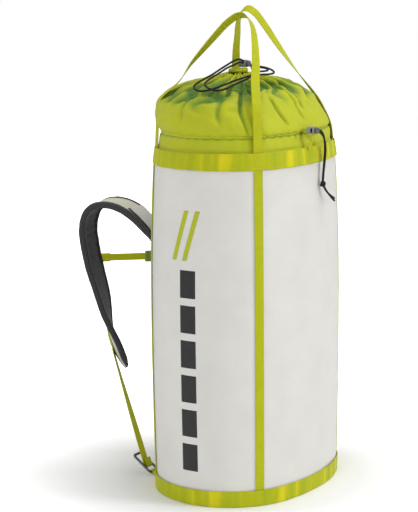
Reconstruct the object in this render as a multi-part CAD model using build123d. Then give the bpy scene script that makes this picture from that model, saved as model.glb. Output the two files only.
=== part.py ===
"""Rope storage bag: a tall oval haul bag with a drawcord collar and a pulled-out harness.

Millimetres. +Z is up, -Y is the outer front of the bag, +Y the wearer's back.
The origin is the centre of the base, on the floor.
"""

from build123d import *
import os
from math import atan2, cos, degrees, hypot, pi, radians, sin, tan

os.makedirs("parts", exist_ok=True)

# ---- driving sizes: body ----
body_height = 713.0          # floor to the top edge of the rim band
mid_height = 375.0           # widest level
half_width = 227.7           # along X at the widest level
half_depth = 169.7           # along Y at the widest level
end_radius = 160.0           # round ends of the oval at the widest level
scale_base = 0.975           # size of the base and of the rim against the widest level
scale_rim = 0.945
wall = 1.2                   # coated fabric
layer_gap = 0.2              # air between sewn layers
seam_gap = 0.4               # between neighbouring wall panels
corner_angle = 37.7          # where the four upright straps stand, from the X axis
strap_width = 18.4
strap_thickness = 1.4
strap_tuck = 4.0             # strap ends stop this far inside the bands' edges
band_height = 33.0
band_thickness = 1.5
base_floor = 1.5             # thickness of the base panel
blank = 2.5 * body_height    # height of tools that pass right through the bag
strap_inner = layer_gap      # offsets of the layers from the wall's outer face
strap_outer = strap_inner + strap_thickness
band_inner = strap_outer + layer_gap
band_outer = band_inner + band_thickness

# ---- driving sizes: collar ----
cloth = 1.0                  # light collar cloth
collar_overlap = 22.0        # collar cloth sewn inside the wall
collar_outer = -(wall + 0.3) # offset of the collar's foot from the wall's outer face
hem_height = body_height + 30.0      # centre of the lower drawcord tunnel
tunnel_radius = 4.0
tunnel_wall = 1.5
cord_diameter = 4.0
cord_play = 0.3              # round a cord in its tunnel or hole
hem_gate = 12.0              # gap in the lower tunnel where its cord comes out
collar_lean = (-8.0, 12.0)   # how far the gathered top slumps sideways
mouth_height = body_height + 147.5   # centre of the upper drawcord tunnel
mouth_half_width = 18.0
mouth_half_depth = 14.0
mouth_end_radius = 13.2
# rise above the rim, size against the collar's foot, share of the lean
collar_levels = [
    (34.6, 0.955, 0.0),
    (55.0, 0.945, 0.3),
    (82.0, 0.880, 0.7),
    (99.0, 0.830, 1.0),
    (114.0, 0.735, 1.0),
    (125.0, 0.610, 1.0),
    (134.0, 0.460, 1.0),
    (140.0, 0.290, 1.0),
    (144.5, 0.125, 1.0),
]

# ---- driving sizes: carry handles ----
handle_width = 19.0
handle_thickness = 1.6
handle_root_x = 0.6926 * half_width
handle_root_y = 0.769 * half_depth
handle_root_z = body_height + 1.4
handle_mid_y = 0.46 * half_depth     # half span part way up the loop
handle_mid = 0.55                    # how far up that is
handle_top_y = 26.0                  # half span of the rounded top
handle_shoulder = (0.6632 * half_width, body_height + 87.0)     # X and Z where the strap leaves the collar
handle_shoulder_y = 0.7425 * half_depth
left_apex = (-6.0, body_height + 257.0)      # X and Z of the top of each loop
right_apex = (13.0, body_height + 276.0)
apex_reach = 9.0                     # blank past the apex, trimmed by the loop

# ---- driving sizes: harness ----
harness_x = 92.5             # middle of each shoulder strap
pad_width = 65.0
foam_thickness = 7.0
skin_thickness = 1.2
binding_width = 3.0
skin_gap = 0.15
webbing_width = 19.0
webbing_thickness = 1.4
flap_length = 52.0
pivot = (176.0, 531.0)       # Y and Z of the top seam of both shoulder straps
left_pad = [pivot, (216, 568), (268, 583), (318, 573), (341, 528), (329, 460),
            (309, 390), (286, 312), (250, 228)]
right_pad = [pivot, (186, 583), (208, 614), (234, 612), (249, 575), (250, 505),
             (247, 425), (240, 335), (222, 214)]
pad_webbing_top = 395.0      # height where the outer webbing is sewn on
pad_webbing_end = 278.0      # height where it leaves the pad
patch_bottom = 500.0         # reinforcement on the back wall
patch_top = 562.0
patch_half_width = 132.0

# ---- driving sizes: ladder locks ----
lock_foot = (178.0, 7.0)     # Y and Z of the lower bar
lock_lean = 36.7             # degrees up from the floor
lock_length = 52.0           # lower bar to top bar
lock_width = 32.0
lock_bar = 4.0
lock_thickness = 3.4
middle_bar = 18.0            # middle bar from the lower bar
lock_clearance = 0.6

# ---- driving sizes: sternum strap ----
sternum_width = 15.0
sternum_height_left = 452.0
sternum_height_right = 444.0
sternum_y_left = 326.5
sternum_y_right = 248.0
sternum_clearance = 3.0      # webbing ends stop this far from the pads
buckle_length = 21.0         # each half of the side-release buckle
buckle_width = 24.0
buckle_thickness = 9.0
buckle_wall = 1.5
buckle_to_pad = 8.0          # end of the plug from the right pad
buckle_overlap = 9.0         # length of the plug inside the socket
prong_spacing = 7.2
prong_width = 3.6

# ---- driving sizes: cord locks ----
barrel_radius = 7.5
barrel_length = 17.0
barrel_floor = 3.0
button_radius = 5.0
button_travel = 3.0
button_cap = 3.2
button_clearance = 0.25
lock_slot_height = 3.0       # cord hole from the barrel's middle
spring_wire = 0.6
spring_radius = 3.2
spring_turns = 4

button_rim = 1.4             # the button's head is this much wider than its stem
button_lift = 0.4            # the head's gap over the barrel when pressed home
stem_clearance = 2.5         # room under the stem for the pressed spring
cord_slot = (2 * cord_diameter + 1.2, cord_diameter + 2 * cord_play)

# Middles of the cord locks. Knots and cords are placed from the middle of their lock.
mouth_lock_centre = (2.0, 6.0, mouth_height + 13.3)
side_lock_centre = (-26.0, -(half_depth * scale_rim + 7.63), hem_height + 5.0)
cord_knot = (13.0, 11.0, 11.0)       # overhand knots, length and two widths
mouth_knot_place = (20.0, -11.0, -7.3)
side_knot_place = (41.5, -3.0, -113.0)
tape_width = 7.0
tape_thickness = 1.0

# Routes of the free cords, from the cord lock to the end, measured from the lock's middle.
side_route_a = [
    (-4, -3, 2.2), (18, -3, 2.2), (40, -4, -7), (50, -3.5, -27), (51, -3, -50), (48.5, -2, -73),
    (45, -1.5, -96), (43, -2, -114), (54, -7, -133), (70, -15, -145),
]
side_route_b = [
    (-4, -3, -2.2), (17, -3, -2.2), (36, -6.5, -11.5), (45, -7.5, -30), (46.5, -7, -51),
    (44.5, -5.5, -73), (41, -5, -95), (39.5, -4.5, -113), (49, -11, -133), (63, -19, -149),
]
mouth_route_outer = [
    (6.9, -3, -2.4), (-10.7, -3, 10.8), (-29, 3, 8.2), (-44, 14, -1.8), (-66, 18, -9.8),
    (-94, 16, -16.8), (-122, 20, -24.8), (-143, 25, -31.8), (-158, 21, -37.8), (-168, 9, -42.3),
    (-170, -5, -43.8), (-164, -19, -41.8), (-144, -34, -34.8), (-108, -44, -25.8),
    (-78, -48.5, -21.8), (-51, -49, -18.8), (-28, -57, -18.8), (-4, -66, -19.8), (23, -61, -18.8),
    (42, -44, -14.8), (50, -24, -10.8), (38, -10, -7.8), (22, -10.5, -6.8),
]
mouth_route_inner = [
    (4.3, -3, -6), (-11.7, -3, 6), (-29, -1, 0.7), (-46, 10, -5.8), (-68, 11, -12.8),
    (-98, 8, -18.8), (-128, 7, -25.8), (-150, 0, -30.8), (-163, -10, -33.8), (-170, -23, -37.8),
    (-168, -36, -41.8), (-156, -47, -40.8), (-134, -54, -33.8), (-109, -58, -27.8),
    (-81, -61, -22.8), (-54, -57, -14.8), (-30, -49, -12.8), (-5, -44, -14.8), (15, -48, -14.8),
    (32, -41, -12.8), (36, -26, -9.8), (21, -16, -8.8),
]


def save(shape, name):
    """One node, one STEP file."""
    export_step(shape, f"parts/{name}.step")


# ---- body section ----

def oval_wire(a, b, r):
    """Four-centred oval: two round ends of radius r joined by two flatter arcs."""
    reach, rise = a - r, b - r
    drop = (reach**2 - rise**2) / (2 * rise)
    lean = atan2(drop, reach)
    x, y = reach + r * cos(lean), r * sin(lean)
    arcs = [
        ThreePointArc((x, -y), (a, 0), (x, y)),
        ThreePointArc((x, y), (0, b), (-x, y)),
        ThreePointArc((-x, y), (-a, 0), (-x, -y)),
        ThreePointArc((-x, -y), (0, -b), (x, -y)),
    ]
    return Wire(arcs)


def body_oval(scale, offset):
    """Body section at one level, grown outwards by offset."""
    return oval_wire(
        half_width * scale + offset, half_depth * scale + offset, end_radius * scale + offset
    )


def body_form(offset):
    """Solid whose side is the wall's outer face moved outwards by offset."""
    levels = [(0.0, scale_base), (mid_height, 1.0), (body_height, scale_rim)]
    return loft([Pos(0, 0, z) * Face(body_oval(scale, offset)) for z, scale in levels])


def slab(low, high):
    """Everything between two heights."""
    return Pos(0, 0, (low + high) / 2) * Box(900, 900, high - low)


def body_layer(inner, outer, low, high):
    """Ring-shaped layer of the body between two offsets and two heights."""
    return (body_form(outer) - body_form(inner)) & slab(low, high)


def diagonal(angle, thickness):
    """Upright plate through the axis, at an angle from the X axis."""
    return Rot(0, 0, angle) * Box(900, thickness, blank)


def make_walls():
    """Four wall panels that meet under the upright straps."""
    tube = body_layer(-wall, 0.0, base_floor + layer_gap, body_height - 1.0)
    panels = tube - diagonal(corner_angle, seam_gap) - diagonal(-corner_angle, seam_gap)
    for panel in panels.solids():
        centre = panel.center(CenterOf.BOUNDING_BOX)
        if abs(centre.Y) > abs(centre.X):
            name = "wall_back" if centre.Y > 0 else "wall_front"
        else:
            name = "wall_right" if centre.X > 0 else "wall_left"
        save(panel, name)


def make_base():
    """Flat base panel inside the base band."""
    save(extrude(Face(body_oval(scale_base, 0.0)), base_floor), "base_panel")


def make_bands():
    """Webbing bands round the foot and the rim."""
    save(body_layer(band_inner, band_outer, 0.0, band_height), "base_band")
    save(body_layer(band_inner, band_outer, body_height - band_height, body_height), "rim_band")


def make_corner_straps():
    """Upright straps over the four wall seams."""
    ring = body_layer(strap_inner, strap_outer, strap_tuck, body_height - strap_tuck)
    for side, turn in (("right", 1), ("left", -1)):
        for face, forward in (("back", 1), ("front", -1)):
            angle = degrees(atan2(forward * sin(radians(corner_angle)),
                                  turn * cos(radians(corner_angle))))
            plate = Rot(0, 0, angle) * Pos(200, 0, 0) * Box(400, strap_width, blank)
            save(ring & plate, f"corner_strap_{face}_{side}")


# ---- collar ----

def collar_oval(scale, offset=0.0):
    """Section of the gathered cloth, against its foot at the rim."""
    foot = collar_outer
    return oval_wire(
        (half_width * scale_rim + foot) * scale + offset,
        (half_depth * scale_rim + foot) * scale + offset,
        (end_radius * scale_rim + foot) * scale + offset,
    )


def tunnel(path, inner, outer):
    """Round tube along a closed flat path."""
    start = path @ 0
    across = Plane(origin=start, x_dir=(0, 0, 1), z_dir=path % 0)
    hull = sweep(across * Circle(outer), path=path)
    return hull - sweep(across * Circle(inner), path=path) if inner else hull


def make_collar_foot():
    """Straight ring of cloth from inside the wall up to the lower tunnel."""
    low, high = body_height - collar_overlap, hem_height - tunnel_radius - 0.3
    ring = Face(collar_oval(1.0)) - Face(collar_oval(1.0, -cloth))
    save(Pos(0, 0, low) * extrude(ring, high - low), "collar_foot")


def hem_path():
    """Centre line of the lower drawcord tunnel."""
    return Pos(0, 0, hem_height) * collar_oval(1.0, -tunnel_radius)


def mouth_path():
    """Centre line of the upper drawcord tunnel."""
    ring = oval_wire(mouth_half_width, mouth_half_depth, mouth_end_radius)
    return Pos(*collar_lean, mouth_height) * ring


def make_tunnels():
    """Sewn tunnels and the drawcords that lie in them."""
    bore = tunnel_radius - tunnel_wall
    front = -(half_depth * scale_rim + collar_outer - tunnel_radius)
    gate = Pos(side_lock_centre[0], front, hem_height) * Box(hem_gate, 5 * tunnel_radius,
                                                             5 * tunnel_radius)
    save(tunnel(hem_path(), bore, tunnel_radius) - gate, "hem_tunnel")
    save(tunnel(hem_path(), 0, cord_diameter / 2) - gate, "hem_cord")
    save(tunnel(mouth_path(), bore, tunnel_radius), "mouth_tunnel")
    save(tunnel(mouth_path(), 0, cord_diameter / 2), "mouth_ring_cord")


def collar_form(offset, drop):
    """Stacked cones through the collar's levels."""
    sections = []
    for rise, scale, lean in collar_levels:
        place = Pos(collar_lean[0] * lean, collar_lean[1] * lean, body_height + rise - drop)
        sections.append(place * Face(collar_oval(scale, offset)))
    return loft(sections, ruled=True)


def make_collar_top():
    """Gathered dome of collar cloth, open at the foot and at the mouth."""
    outer = collar_form(0.0, 0.0)
    inner = collar_form(-cloth, cloth * 1.2)
    spare = tunnel_radius + 0.3
    hole = oval_wire(mouth_half_width + spare, mouth_half_depth + spare, mouth_end_radius + spare)
    neck = Pos(*collar_lean, mouth_height - 30) * extrude(Face(hole), 60)
    save(outer - inner - neck, "collar_top")


# ---- carry handles ----

def fillet_radii(points, share=0.45):
    """Largest tangent arcs that the runs of a route allow."""
    radii = []
    vectors = [Vector(*point) for point in points]
    for before, here, after in zip(vectors, vectors[1:], vectors[2:]):
        first, second = here - before, after - here
        half_turn = radians(first.get_angle(second)) / 2
        radii.append(share * min(first.length, second.length) / tan(half_turn))
    return radii


def routed(points):
    """Straight runs joined by arcs as large as they allow."""
    return Wire(FilletPolyline(*points, radius=fillet_radii(points)))


def thick_band(path, normal, thickness, depth):
    """Flat path thickened in its own plane and pulled out both ways along the normal."""
    start = Plane(origin=path @ 0, x_dir=normal, z_dir=path % 0)
    return sweep(start * Rectangle(depth, thickness), path=path)


def make_handle(name, side, apex):
    """Webbing loop: its side view and its front view, each a band, cut with each other."""
    apex_x, apex_z = apex
    shoulder_x, shoulder_z = handle_shoulder
    rise_x, rise_z = apex_x - side * shoulder_x, apex_z - shoulder_z
    past = apex_reach / hypot(rise_x, rise_z)
    side_view = [
        (side * handle_root_x, 0, handle_root_z),
        (side * shoulder_x, 0, shoulder_z),
        (apex_x + rise_x * past, 0, apex_z + rise_z * past),
    ]
    lean = thick_band(routed(side_view), Plane.XZ.z_dir, handle_width, 2 * half_depth)
    front_view = [
        (0, -handle_root_y, handle_root_z),
        (0, -handle_shoulder_y, shoulder_z),
        (0, -handle_mid_y, handle_mid * apex_z + (1 - handle_mid) * shoulder_z),
        (0, -handle_top_y, apex_z - 1.5),
        (0, handle_top_y, apex_z - 1.5),
        (0, handle_mid_y, handle_mid * apex_z + (1 - handle_mid) * shoulder_z),
        (0, handle_shoulder_y, shoulder_z),
        (0, handle_root_y, handle_root_z),
    ]
    loop = thick_band(routed(front_view), Plane.YZ.z_dir, handle_thickness, 3 * half_width)
    save(lean & loop, name)


# ---- harness ----

def pad_line(points, x):
    """Middle line of a shoulder pad's foam, in the plane of one X."""
    return routed([(x, y, z) for y, z in points])


def pad_layer(line, offset, width, thickness):
    """One layer of the pad: a strip along the line, offset to the outer side."""
    across = Plane(origin=line @ 0, x_dir=(1, 0, 0), z_dir=line % 0)
    return sweep(across * Pos(0, offset, 0) * Rectangle(width, thickness), path=line)


def outer_side(line):
    """+1 or -1: the pad plane's local Y that points away from the bag."""
    across = Plane(origin=line @ 0, x_dir=(1, 0, 0), z_dir=line % 0)
    return 1 if across.y_dir.Z > 0 else -1


def make_pad(side, sign, points):
    """Foam, cover, lining, edge binding, anchor flap and outer webbing of one pad."""
    x = sign * harness_x
    line = pad_line(points, x)
    out = outer_side(line)
    skin = foam_thickness / 2 + skin_gap + skin_thickness / 2
    inner_width = pad_width - 2 * (binding_width + skin_gap)
    save(pad_layer(line, 0, inner_width, foam_thickness), f"pad_foam_{side}")
    save(pad_layer(line, out * skin, inner_width, skin_thickness), f"pad_cover_{side}")
    save(pad_layer(line, -out * skin, inner_width, skin_thickness), f"pad_lining_{side}")
    full = foam_thickness + 2 * (skin_gap + skin_thickness)
    edges = []
    for edge in (-1, 1):
        place = edge * (pad_width - binding_width) / 2
        across = Plane(origin=line @ 0, x_dir=(1, 0, 0), z_dir=line % 0)
        strip = across * Pos(place, 0, 0) * Rectangle(binding_width, full)
        edges.append(sweep(strip, path=line))
    save(Compound(children=edges), f"pad_binding_{side}")
    top = full / 2 + layer_gap
    flap = pad_layer(line, out * (top + skin_thickness / 2), inner_width, skin_thickness)
    y, z = points[0]
    near_seam = Pos(x, y, z) * Sphere(flap_length) - Pos(x, y, z) * Sphere(8)
    save(flap & near_seam, f"anchor_flap_{side}")
    strip = pad_layer(line, out * (top + webbing_thickness / 2), webbing_width, webbing_thickness)
    save(strip & slab(pad_webbing_end, pad_webbing_top), f"pad_webbing_{side}")


def lock_point(along, above=0.0):
    """Y and Z of a point in the ladder lock's own plane."""
    y, z = lock_foot
    c, s = cos(radians(lock_lean)), sin(radians(lock_lean))
    return y + along * c - above * s, z + along * s + above * c


def make_ladder_lock(side, sign):
    """Steel frame with a lower, a middle and a top bar."""
    x = sign * harness_x
    height = lock_length + lock_bar
    frame = Box(lock_width, height, lock_thickness)
    frame = fillet(frame.edges().filter_by(Axis.Z), 6)
    centre = lock_length / 2
    slot_width = lock_width - 2 * lock_bar - 1
    small = middle_bar - lock_bar
    large = lock_length - middle_bar - lock_bar
    frame -= Pos(0, middle_bar / 2 - centre, 0) * Box(slot_width, small, 9)
    frame -= Pos(0, (middle_bar + lock_length) / 2 - centre, 0) * Box(slot_width, large, 9)
    frame = fillet(frame.edges().filter_by(Axis.X), 0.8)
    y, z = lock_point(centre)
    place = Plane(origin=(x, y, z), x_dir=(1, 0, 0),
                  z_dir=(0, -sin(radians(lock_lean)), cos(radians(lock_lean))))
    save(place * frame, f"ladder_lock_{side}")


def make_lower_tab(side, sign):
    """Webbing tab that holds the ladder lock's lower bar to the foot of the bag."""
    x = sign * harness_x
    y, z = lock_foot
    eye = hypot(lock_bar, lock_thickness) / 2 + lock_clearance
    outside = eye + webbing_thickness
    wide = lock_width - 2 * lock_bar - 4
    ring = Pos(x, y, z) * Rot(0, 90, 0) * (Cylinder(outside, wide) - Cylinder(eye, wide + 2))
    wall_y = back_face(abs(x) - wide / 2, z, band_outer) + layer_gap
    tongue = Pos(x, (wall_y + y - eye) / 2, z) * Box(wide, y - eye - wall_y, 2 * webbing_thickness)
    save(ring + tongue, f"lower_tab_{side}")


def back_face(x, z, offset):
    """Y of the back wall's outer face at one X and height, moved out by offset."""
    scale = scale_base + (1 - scale_base) * min(z / mid_height, 1.0)
    if z > mid_height:
        share = (z - mid_height) / (body_height - mid_height)
        scale = 1 - (1 - scale_rim) * share
    r = end_radius * scale + offset
    rise = half_depth * scale + offset - r
    reach = half_width * scale + offset - r
    drop = (reach**2 - rise**2) / (2 * rise)
    radius = half_depth * scale + offset + drop
    return (radius**2 - x**2) ** 0.5 - drop


def make_adjuster(side, sign, points):
    """Webbing from the pad down to the ladder lock, wrapped round its middle bar."""
    x = sign * harness_x
    lower, upper = Vector(*points[-1]), Vector(*points[-2])
    share = (pad_webbing_end - lower.Y) / (upper.Y - lower.Y)
    run = (lower - upper).normalized()
    outward = Vector(-run.Y, run.X)
    lift = foam_thickness / 2 + skin_gap + skin_thickness + layer_gap + webbing_thickness
    top = lower + (upper - lower) * share + outward * lift + run * 4
    bar = Vector(*lock_point(middle_bar))
    pull = (top - bar).normalized()
    beside = Vector(pull.Y, -pull.X)
    wrap = hypot(lock_bar, lock_thickness) / 2 + lock_clearance + webbing_thickness / 2
    outer, under = bar + beside * wrap, bar - pull * wrap
    inner = bar - beside * wrap
    tail = inner + pull * 16

    def at(v):
        return (x, v.X, v.Y)

    start = outer + pull * (top - bar).length
    path = Wire([
        Line(at(start), at(outer)),
        ThreePointArc(at(outer), at(under), at(inner)),
        Line(at(inner), at(tail)),
    ])
    across = Plane(origin=path @ 0, x_dir=(1, 0, 0), z_dir=path % 0)
    save(sweep(across * Rectangle(webbing_width, webbing_thickness), path=path),
         f"adjuster_webbing_{side}")


def make_harness_patch():
    """Reinforcement sewn on the back wall behind the pads' top seams."""
    layer = body_layer(layer_gap, layer_gap + skin_thickness, patch_bottom, patch_top)
    window = Pos(0, 200, 0) * Box(2 * patch_half_width, 400, blank)
    save(layer & window, "harness_patch")


# ---- sternum strap ----

def sternum_frame(share):
    """Plane on the sternum strap, local X along it to the right, local Z across its face."""
    left = Vector(-harness_x + pad_width / 2, sternum_y_left, sternum_height_left)
    right = Vector(harness_x - pad_width / 2, sternum_y_right, sternum_height_right)
    run = right - left
    face = run.cross(Vector(0, 0, 1))
    return Plane(origin=left + run * share, x_dir=run, z_dir=face), run.length


def make_sternum():
    """Two lengths of webbing and a side-release buckle near the right pad."""
    start, length = sternum_frame(0.0)
    male_end = length - buckle_to_pad
    female_start = male_end - 2 * buckle_length + buckle_overlap
    left_length = female_start + 3.0 - sternum_clearance
    right_length = length - sternum_clearance - male_end
    for name, at, long in (("sternum_webbing_left", sternum_clearance, left_length),
                           ("sternum_webbing_right", male_end + 0.3, right_length - 0.3)):
        strip = Pos(at + long / 2, 0, 0) * Box(long, sternum_width, webbing_thickness)
        save(start * strip, name)
    body = Box(buckle_length, buckle_width, buckle_thickness)
    body = fillet(body.edges().filter_by(Axis.X), 2.5)
    pocket_long = buckle_length - 5
    pocket = Box(pocket_long, buckle_width - 2 * buckle_wall, buckle_thickness - 2 * buckle_wall)
    body -= Pos((buckle_length - pocket_long) / 2, 0, 0) * pocket
    body -= Box(2 * buckle_length, sternum_width + 1.2, webbing_thickness + 1.0)
    save(start * Pos(female_start + buckle_length / 2, 0, 0) * body, "sternum_buckle_female")
    inside = buckle_thickness - 2 * buckle_wall - 0.6
    block_long = buckle_length - buckle_overlap - 0.4
    block = Box(block_long, buckle_width, buckle_thickness)
    block = fillet(block.edges().filter_by(Axis.X), 2.5)
    block_x = female_start + buckle_length + 0.4 + block_long / 2
    male = Pos(block_x, 0, 0) * block
    prong_long = pocket_long - 2
    prong_x = female_start + buckle_length + 1 - prong_long / 2
    for place in (-prong_spacing, 0.0, prong_spacing):
        male += Pos(prong_x, place, 0) * Box(prong_long, prong_width, inside)
    save(start * male, "sternum_buckle_male")


# ---- cord locks ----

def make_cord_lock(name, place):
    """Barrel, sprung button and spring. Local Z is the button's way out."""
    slot_wide, slot_high = cord_slot
    low = -barrel_length / 2
    top = barrel_length / 2
    barrel = Cylinder(barrel_radius, barrel_length)
    barrel = fillet(barrel.edges().group_by(Axis.Z)[0], 1.5)
    bore_long = barrel_length - barrel_floor
    bore = Pos(0, 0, top - bore_long / 2) * Cylinder(button_radius + button_clearance, bore_long)
    barrel -= bore
    barrel -= Pos(0, 0, lock_slot_height) * Box(40, slot_wide, slot_high)
    save(place * barrel, f"{name}_barrel")
    stem_low = low + barrel_floor + button_travel + stem_clearance
    stem_high = top + button_travel + button_lift
    stem = Pos(0, 0, (stem_low + stem_high) / 2) * Cylinder(button_radius, stem_high - stem_low)
    cap = Pos(0, 0, stem_high + button_cap / 2) * Cylinder(button_radius + button_rim, button_cap)
    cap = fillet(cap.edges().group_by(Axis.Z)[-1], 1.2)
    gate_low = lock_slot_height - slot_high / 2
    gate_high = lock_slot_height + slot_high / 2 + button_travel
    gate = Pos(0, 0, (gate_low + gate_high) / 2) * Box(40, slot_wide, gate_high - gate_low)
    save(place * (stem + cap - gate), f"{name}_button")
    coil_high = stem_low - low - barrel_floor - spring_wire
    coil_path = Helix(pitch=coil_high / spring_turns, height=coil_high, radius=spring_radius)
    across = Plane(origin=coil_path @ 0, z_dir=coil_path % 0)
    coil = sweep(across * Circle(spring_wire / 2), path=coil_path, is_frenet=True)
    save(place * Pos(0, 0, low + barrel_floor + spring_wire / 2) * coil, f"{name}_spring")


def make_cord_locks():
    """Both locks, with their buttons towards the front."""
    mouth = Plane(origin=mouth_lock_centre, x_dir=(-0.8, 0, 0.6), z_dir=(0, -1, 0))
    make_cord_lock("mouth_lock", mouth)
    side = Plane(origin=side_lock_centre, x_dir=(1, 0, 0), z_dir=(0, -1, 0))
    make_cord_lock("side_lock", side)


def make_lock_tape():
    """Sewn tape that anchors the lower cord lock to the rim."""
    low, high = body_height + layer_gap, side_lock_centre[2] - barrel_radius - layer_gap
    y = -(half_depth * scale_rim + collar_outer) - layer_gap - tape_thickness
    tape = Box(tape_width, tape_thickness, high - low)
    save(Pos(side_lock_centre[0], y, (low + high) / 2) * tape, "side_lock_tape")


# ---- free cords ----

def make_cord(name, route, lock):
    """Round cord along straight runs and tangent arcs, with its volume as a check."""
    path = routed([tuple(Vector(*lock) + Vector(*point)) for point in route])
    across = Plane(origin=path @ 0, z_dir=path % 0)
    cord = sweep(across * Circle(cord_diameter / 2), path=path)
    section = pi * cord_diameter**2 / 4
    print(name, "length", round(path.length, 1), "volume share",
          round(cord.volume / (section * path.length), 4),
          "radii", [round(radius) for radius in fillet_radii(route)])
    save(cord, name)


def make_knot(name, place, lock, tilt):
    """Plain closed solid of an overhand knot."""
    long, wide, deep = cord_knot
    knot = Box(wide, deep, long)
    knot = fillet(knot.edges(), 0.45 * min(wide, deep))
    save(Pos(*lock) * Pos(*place) * Rot(*tilt) * knot, name)


def make_cords():
    """Free cords outside the tunnels, and the knots that tie their ends."""
    make_cord("side_cord_a", side_route_a, side_lock_centre)
    make_cord("side_cord_b", side_route_b, side_lock_centre)
    make_knot("side_cord_knot", side_knot_place, side_lock_centre, (0, 8, 0))
    make_cord("mouth_cord_outer", mouth_route_outer, mouth_lock_centre)
    make_cord("mouth_cord_inner", mouth_route_inner, mouth_lock_centre)
    make_knot("mouth_cord_knot", mouth_knot_place, mouth_lock_centre, (0, 80, 12))


def main():
    make_walls()
    make_base()
    make_bands()
    make_corner_straps()
    make_collar_foot()
    make_tunnels()
    make_collar_top()
    make_handle("handle_left", -1, left_apex)
    make_handle("handle_right", 1, right_apex)
    for side, sign, points in (("left", -1, left_pad), ("right", 1, right_pad)):
        make_pad(side, sign, points)
        make_ladder_lock(side, sign)
        make_lower_tab(side, sign)
        make_adjuster(side, sign, points)
    make_harness_patch()
    make_sternum()
    make_cord_locks()
    make_lock_tape()
    make_cords()


main()
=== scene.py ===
import math
import bpy
import numpy as np
from mathutils import Matrix, Vector


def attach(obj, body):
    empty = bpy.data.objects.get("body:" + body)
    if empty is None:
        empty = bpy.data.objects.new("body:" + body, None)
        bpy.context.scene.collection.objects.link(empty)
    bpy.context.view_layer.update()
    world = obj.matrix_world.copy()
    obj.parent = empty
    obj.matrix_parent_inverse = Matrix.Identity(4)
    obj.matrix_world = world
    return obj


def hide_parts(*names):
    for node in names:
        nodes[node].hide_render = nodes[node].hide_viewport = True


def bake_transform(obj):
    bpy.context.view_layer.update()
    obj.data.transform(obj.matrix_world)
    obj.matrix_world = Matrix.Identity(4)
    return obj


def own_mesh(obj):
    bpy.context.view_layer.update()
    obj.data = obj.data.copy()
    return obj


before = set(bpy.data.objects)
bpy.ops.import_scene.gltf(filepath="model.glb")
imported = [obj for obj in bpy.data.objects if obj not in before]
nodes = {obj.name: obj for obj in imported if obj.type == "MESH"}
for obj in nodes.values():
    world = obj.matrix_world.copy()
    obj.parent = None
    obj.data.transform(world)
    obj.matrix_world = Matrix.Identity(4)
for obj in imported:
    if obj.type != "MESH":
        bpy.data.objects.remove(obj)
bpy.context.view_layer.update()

# ---- sizes, in metres, as in the CAD model ----
BODY_HEIGHT = 0.713
MID_HEIGHT = 0.375
HALF_WIDTH = 0.2277
HALF_DEPTH = 0.1697
END_RADIUS = 0.160
SCALE_BASE = 0.975
SCALE_RIM = 0.945
WALL = 0.0012
CORNER = math.radians(37.7)
STRAP_WIDTH = 0.0184
BAND = 0.033
CORD = 0.004
COLLAR_FOOT = -0.0015
HEM_HEIGHT = 0.743
LEAN = np.array([-0.008, 0.012])
HARNESS_X = 0.0925
PAD_WIDTH = 0.065
WEBBING_WIDTH = 0.019   # handles, pad webbing and adjusters
MEAN_RADIUS = 0.20      # of the body near its corners, to turn angles into lengths
RIM_TUCK = 0.014        # how far the rim band pulls the wall's edge in, as a share
TUCK_FROM = 0.676


# ---- curves and surfaces ----

def oval_radius(angle, a, b, r):
    """Distance from the axis to a four-centred oval, in the direction of angle."""
    c, s = np.abs(np.cos(angle)), np.abs(np.sin(angle))
    reach, rise = a - r, b - r
    drop = (reach**2 - rise**2) / (2 * rise)
    side = b + drop
    lean = np.arctan2(drop, reach)
    corner = np.arctan2(r * np.sin(lean), reach + r * np.cos(lean))
    on_end = reach * c + np.sqrt(np.maximum(r**2 - (reach * s) ** 2, 0))
    on_side = -drop * s + np.sqrt(np.maximum(side**2 - (drop * c) ** 2, 0))
    return np.where(np.arctan2(s, c) < corner, on_end, on_side)


def body_scale(z):
    """Size of the body's section at a height, against its widest level."""
    below = SCALE_BASE + (1 - SCALE_BASE) * (1 - ((MID_HEIGHT - z) / MID_HEIGHT) ** 2)
    rise = (z - MID_HEIGHT) / (BODY_HEIGHT - MID_HEIGHT)
    above = 1 - (1 - SCALE_RIM) * rise**2
    tuck = RIM_TUCK * np.clip((z - TUCK_FROM) / (BODY_HEIGHT - TUCK_FROM), 0, 1) ** 1.5
    return np.where(z < MID_HEIGHT, below, above) - tuck


def body_point(angle, z, offset=0.0):
    """Point on the body's outer face, moved outwards by offset."""
    k = body_scale(z)
    reach = oval_radius(angle, HALF_WIDTH * k + offset, HALF_DEPTH * k + offset,
                        END_RADIUS * k + offset)
    return np.stack([reach * np.cos(angle), reach * np.sin(angle), z + 0 * angle], axis=-1)


def unit(v):
    """Vectors of length 1 in the same directions."""
    return v / np.maximum(np.linalg.norm(v, axis=-1, keepdims=True), 1e-12)


def outward(grid):
    """Unit normals of a grid of points."""
    return unit(np.cross(np.gradient(grid, axis=0), np.gradient(grid, axis=1)))


def full_turn(count):
    """Angles evenly spaced over one turn, the first one not repeated."""
    return np.linspace(0, 2 * math.pi, count + 1)[:-1]


def run_length(points):
    """Distance of each point along the line, from the first."""
    return np.concatenate([[0], np.cumsum(np.linalg.norm(np.diff(points, axis=0), axis=1))])


def read(at, known, table):
    """A table's columns at some places, between the places where they are known."""
    return np.stack([np.interp(at, known, column) for column in table.T], axis=-1)


def resampled(points, count):
    """The same line with evenly spaced points."""
    run = run_length(points[:, :3])
    return read(np.linspace(0, run[-1], count), run, points)


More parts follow.
